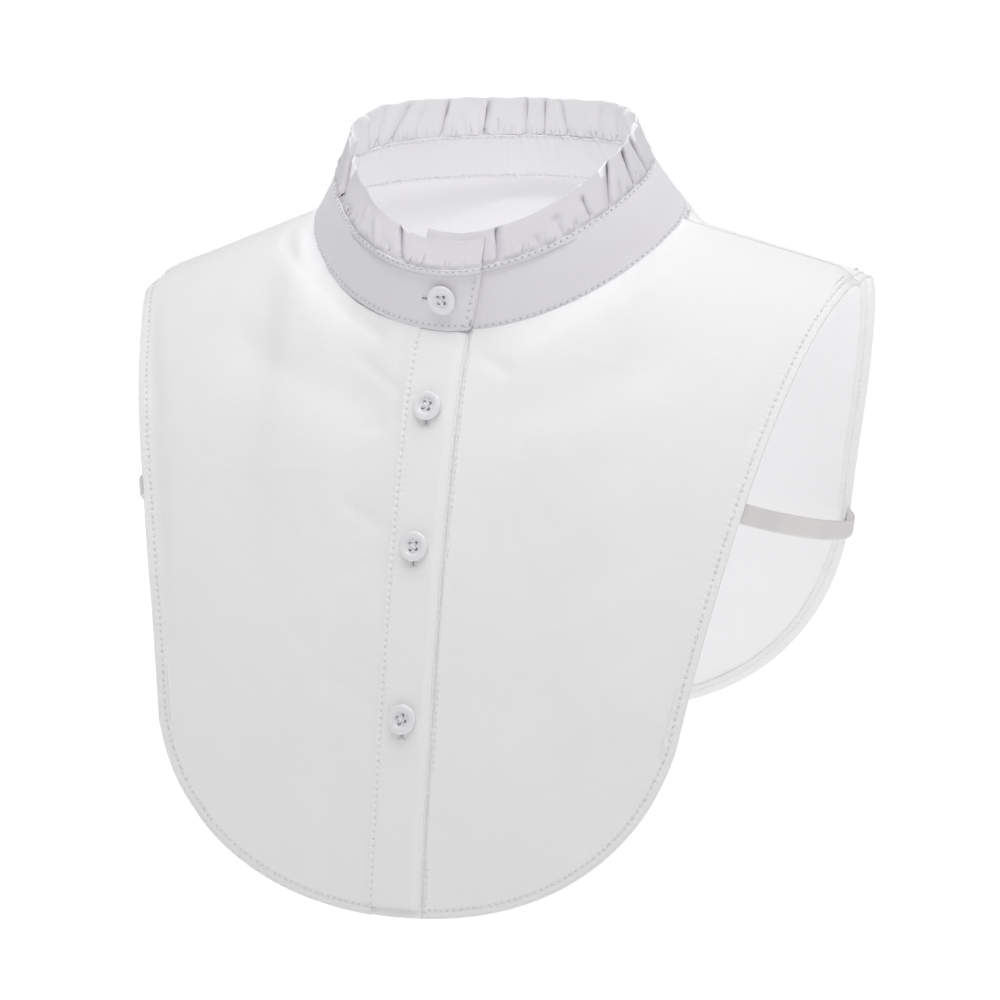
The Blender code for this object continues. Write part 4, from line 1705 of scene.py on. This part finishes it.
def make_buttonhole(hole):
    """Satin stitches on both sides of the slit and a bar at each end, and a dark grey bead in the shown end of the slit
    as painted shadow.
    """
    bm, slit = bmesh.new(), bmesh.new()
    tree = TREES[hole.cloth]
    low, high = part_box(hole.button)
    middle, out, _, _ = tree.find_nearest((low + high) / 2 / MM)
    level = out.cross(Vector((0, 0, 1))).normalized()
    way = level if hole.level else out.cross(level).normalized()
    if not hole.level and way.z > 0:
        way.negate()
    if hole.level and way.x > 0:
        way.negate()
    across = out.cross(way).normalized()
    start, end = (-hole.reach_on, hole.reach_back) if hole.level else (-hole.reach_back, hole.reach_on)
    count = int((end - start) / SATIN_PITCH)
    luck = random.Random(hole.button)
    for number in range(count + 1):
        for side in (-1, 1):
            wobble = luck.uniform(-0.12, 0.12)
            spot = middle + way * (start + number * SATIN_PITCH) + across * side * (SATIN_OFFSET + wobble)
            place, normal, _, _ = tree.find_nearest(spot)
            bead(bm, place + normal * 0.1, across + way * wobble, normal, SATIN_LENGTH, SATIN_RADIUS)
    for at in (start, end):
        for row in range(3):
            spot = middle + way * (at + (row - 1) * 0.3)
            place, normal, _, _ = tree.find_nearest(spot)
            bead(bm, place + normal * 0.14, across, normal, BAR_LENGTH, SATIN_RADIUS)
    # Painted shadow: a dark grey bead lies where the slit's opening shows, in place of a cut.
    shown = middle + way * ((end if hole.level else end - 0.4) - 0.5 * SLIT_SHOWS)
    place, normal, _, _ = tree.find_nearest(shown)
    bead(slit, place + normal * 0.08, way, normal, SLIT_SHOWS, 0.3 if hole.level else 0.14)
    finished(hole.button + "_slit_painted_shadow", slit, SLIT_SHADOW)
    return finished(hole.button + "_hole_thread", bm, THREAD)


for hole in BUTTONHOLES:
    print(make_buttonhole(hole).name, "worked")

# %% [markdown]
# A band of elastic on each side holds the fronts to the back under the arms. It is sewn under the hems
# and sags a little. Its knit shows as rows of small cells, so its face is raised in a pattern of ribs.

# %% Elastic straps
STRAP_WIDTH = 7.8
STRAP_FRONT_Z = -82.0
STRAP_BACK_Z = -120.0
STRAP_TUCK_SHARE = 0.95
STRAP_LEAD_SHARE = 0.12
STRAP_SAG = 5.0
STRAP_SEAT = 0.12
STRAP_STEPS = 150
STRAP_TUCK_STEPS = 6
STRAP_ROWS = 14
STRAP_THICK = 0.8
KNIT_PITCH = 1.1
KNIT_HEIGHT = 0.16


def down_to(surface, along, z):
    """The share of the way down at which a column reaches the height z."""
    low, high = 0.0, 1.0
    for _ in range(30):
        middle = (low + high) / 2
        if surface(along, middle).z > z:
            low = middle
        else:
            high = middle
    return low


def level_way(start, end):
    return Vector((end.x - start.x, end.y - start.y, 0.0)).normalized()


def seated(x_in, front):
    """The inner face of a panel's hem, where the elastic lies."""

    def surface(across, down):
        face = lambda a, d: bib_point(a, d, x_in, front)
        return face(across, down) + normal_of(face, across, down) * (STRAP_SEAT if front else -STRAP_SEAT)

    return surface


def strap_stations(front, back):
    """The elastic's middle line and its upward direction, from under one hem to the other."""
    ends = []
    for surface, z in ((front, STRAP_FRONT_Z), (back, STRAP_BACK_Z)):
        down = down_to(surface, 1.0, z)
        up = (surface(1.0, down - 0.02) - surface(1.0, down + 0.02)).normalized()
        shares = [mix(STRAP_TUCK_SHARE, 1.0, step / STRAP_TUCK_STEPS) for step in range(STRAP_TUCK_STEPS + 1)]
        ends.append(([surface(across, down) for across in shares], up))
    (front_line, front_up), (back_line, back_up) = ends
    start, finish = front_line[-1], back_line[-1]
    reach = (finish - start).length * STRAP_LEAD_SHARE
    lead_in = start + level_way(front_line[-2], start) * reach
    lead_out = finish + level_way(back_line[-2], finish) * reach
    stations = [(point, front_up) for point in front_line]
    for step in range(1, STRAP_STEPS):
        t = step / STRAP_STEPS
        point = start * (1 - t) ** 3 + lead_in * 3 * t * (1 - t) ** 2
        point += lead_out * 3 * t**2 * (1 - t) + finish * t**3
        point.z -= STRAP_SAG * 4 * t * (1 - t)
        stations.append((point, front_up.lerp(back_up, smooth(t)).normalized()))
    return stations + [(point, back_up) for point in reversed(back_line)]


def make_strap(side, stations):
    lengths = lined_up([point for point, _ in stations])

    def place(column, row):
        middle, up = stations[column]
        before = stations[max(column - 1, 0)][0]
        after = stations[min(column + 1, len(stations) - 1)][0]
        out = up.cross(after - before).normalized()
        share = row / STRAP_ROWS
        down = STRAP_WIDTH * (0.5 - share)
        cells = sin(2 * pi * lengths[column] / KNIT_PITCH + (pi if row % 2 else 0))
        edge = bell(min(share, 1 - share), 0.05)
        point = middle + up * down - out * KNIT_HEIGHT * (cells * (1 - edge) - edge)
        return Vector((point.x * side, point.y, point.z))

    cloth = cloth_grid(len(stations) - 1, STRAP_ROWS, place)
    if side > 0:
        bmesh.ops.reverse_faces(cloth.bm, faces=cloth.bm.faces)
    cloth.bm.normal_update()
    return cloth


STRAP_LINE = strap_stations(seated(UNDER_EDGE, True), seated(0.0, False))
STRAP_LENGTH = lined_up([point for point, _ in STRAP_LINE])[-1]
STRAPS = []
for side, name in ((1, "elastic_left"), (-1, "elastic_right")):
    strap = make_strap(side, STRAP_LINE)
    map_weave(strap)
    STRAPS.append(thicken(finished(name + "_band", strap.bm, ELASTIC, name), STRAP_THICK))
    print(name, "is", round(STRAP_LENGTH, 1), "mm long")

# %% [markdown]
# Each panel was one flat piece before it was sewn. Its hem and the hem's stitches are sewn on to it.
# The two bands of elastic are sewn to the back, so they go with it. This counts the pieces on each.

# %% The pieces sewn on to each panel
for name, piece in PANEL_PIECES.items():
    sewn_on = [HEMS[name], HEM_STITCHES[name]] + (STRAPS if name == "back" else [])
    print(name, "sheet holds", len(sewn_on), "more pieces")

# %% [markdown]
# The stage is a plain pale floor and white surroundings. A soft box above brightens the shoulders, a
# weaker one from the side fills in, and a narrow spot from high in front reaches the inside of the back
# of the neck. The front is left to the softer light that comes back from all round, which shades it
# gently towards the hem.

# %% Floor and light
FLOOR_Z = -900.0
FLOOR_HALF = 20.0
LIGHT_TARGET = Vector((0, 0, -90.0))
SoftBox = namedtuple("SoftBox", "name azimuth height distance size watts")
SOFT_BOXES = (
    SoftBox("overhead", 30, 78, 1050, 1000, 8.3),
    SoftBox("right", 75, 35, 1900, 1000, 1.2),
)
NECK_SPOT_FROM = Vector((150, -480, 820))
NECK_SPOT_AT = Vector((0, 56, -14))
NECK_SPOT_ANGLE = 8.0
NECK_SPOT_WATTS = 8.5


def make_floor():
    bm = bmesh.new()
    bmesh.ops.create_grid(bm, x_segments=1, y_segments=1, size=FLOOR_HALF)
    bmesh.ops.translate(bm, vec=(0, 0, FLOOR_Z * MM), verts=bm.verts)
    floor = plain_object("floor", bm)
    finish = Finish("pale_floor")
    finish.surface(Base_Color=(0.94, 0.94, 0.94, 1), Roughness=0.8, Emission_Color=(1, 1, 1, 1), Emission_Strength=0.67)
    floor.data.materials.append(finish.material)
    return floor


def add_soft_box(box):
    data = bpy.data.lights.new(box.name, "AREA")
    data.shape = "SQUARE"
    data.size = box.size * MM
    data.energy = box.watts
    light = bpy.data.objects.new(box.name, data)
    bpy.context.scene.collection.objects.link(light)
    azimuth, height = radians(box.azimuth), radians(box.height)
    way = Vector((sin(azimuth) * cos(height), -cos(azimuth) * cos(height), sin(height)))
    light.location = (LIGHT_TARGET + way * box.distance) * MM
    light.rotation_euler = way.to_track_quat("Z", "Y").to_euler()
    return light


def add_neck_spot():
    """A soft beam from high in front, past the ruffle's rim, on to the inside of the back."""
    data = bpy.data.lights.new("neck_spot", "SPOT")
    data.energy = NECK_SPOT_WATTS
    data.spot_size = radians(NECK_SPOT_ANGLE)
    data.spot_blend = 1.0
    data.shadow_soft_size = 0.03
    light = bpy.data.objects.new("neck_spot", data)
    bpy.context.scene.collection.objects.link(light)
    light.location = NECK_SPOT_FROM * MM
    light.rotation_euler = (NECK_SPOT_FROM - NECK_SPOT_AT).to_track_quat("Z", "Y").to_euler()
    return light


def light_world(strength):
    world = bpy.data.worlds.new("surroundings")
    world.use_nodes = True
    background = world.node_tree.nodes["Background"]
    background.inputs["Color"].default_value = (1.0, 1.0, 1.0, 1.0)
    background.inputs["Strength"].default_value = strength
    bpy.context.scene.world = world


make_floor()
for box in SOFT_BOXES:
    print("light", add_soft_box(box).name)
print("light", add_neck_spot().name)
light_world(0.36)
bpy.context.scene.view_settings.view_transform = "Standard"
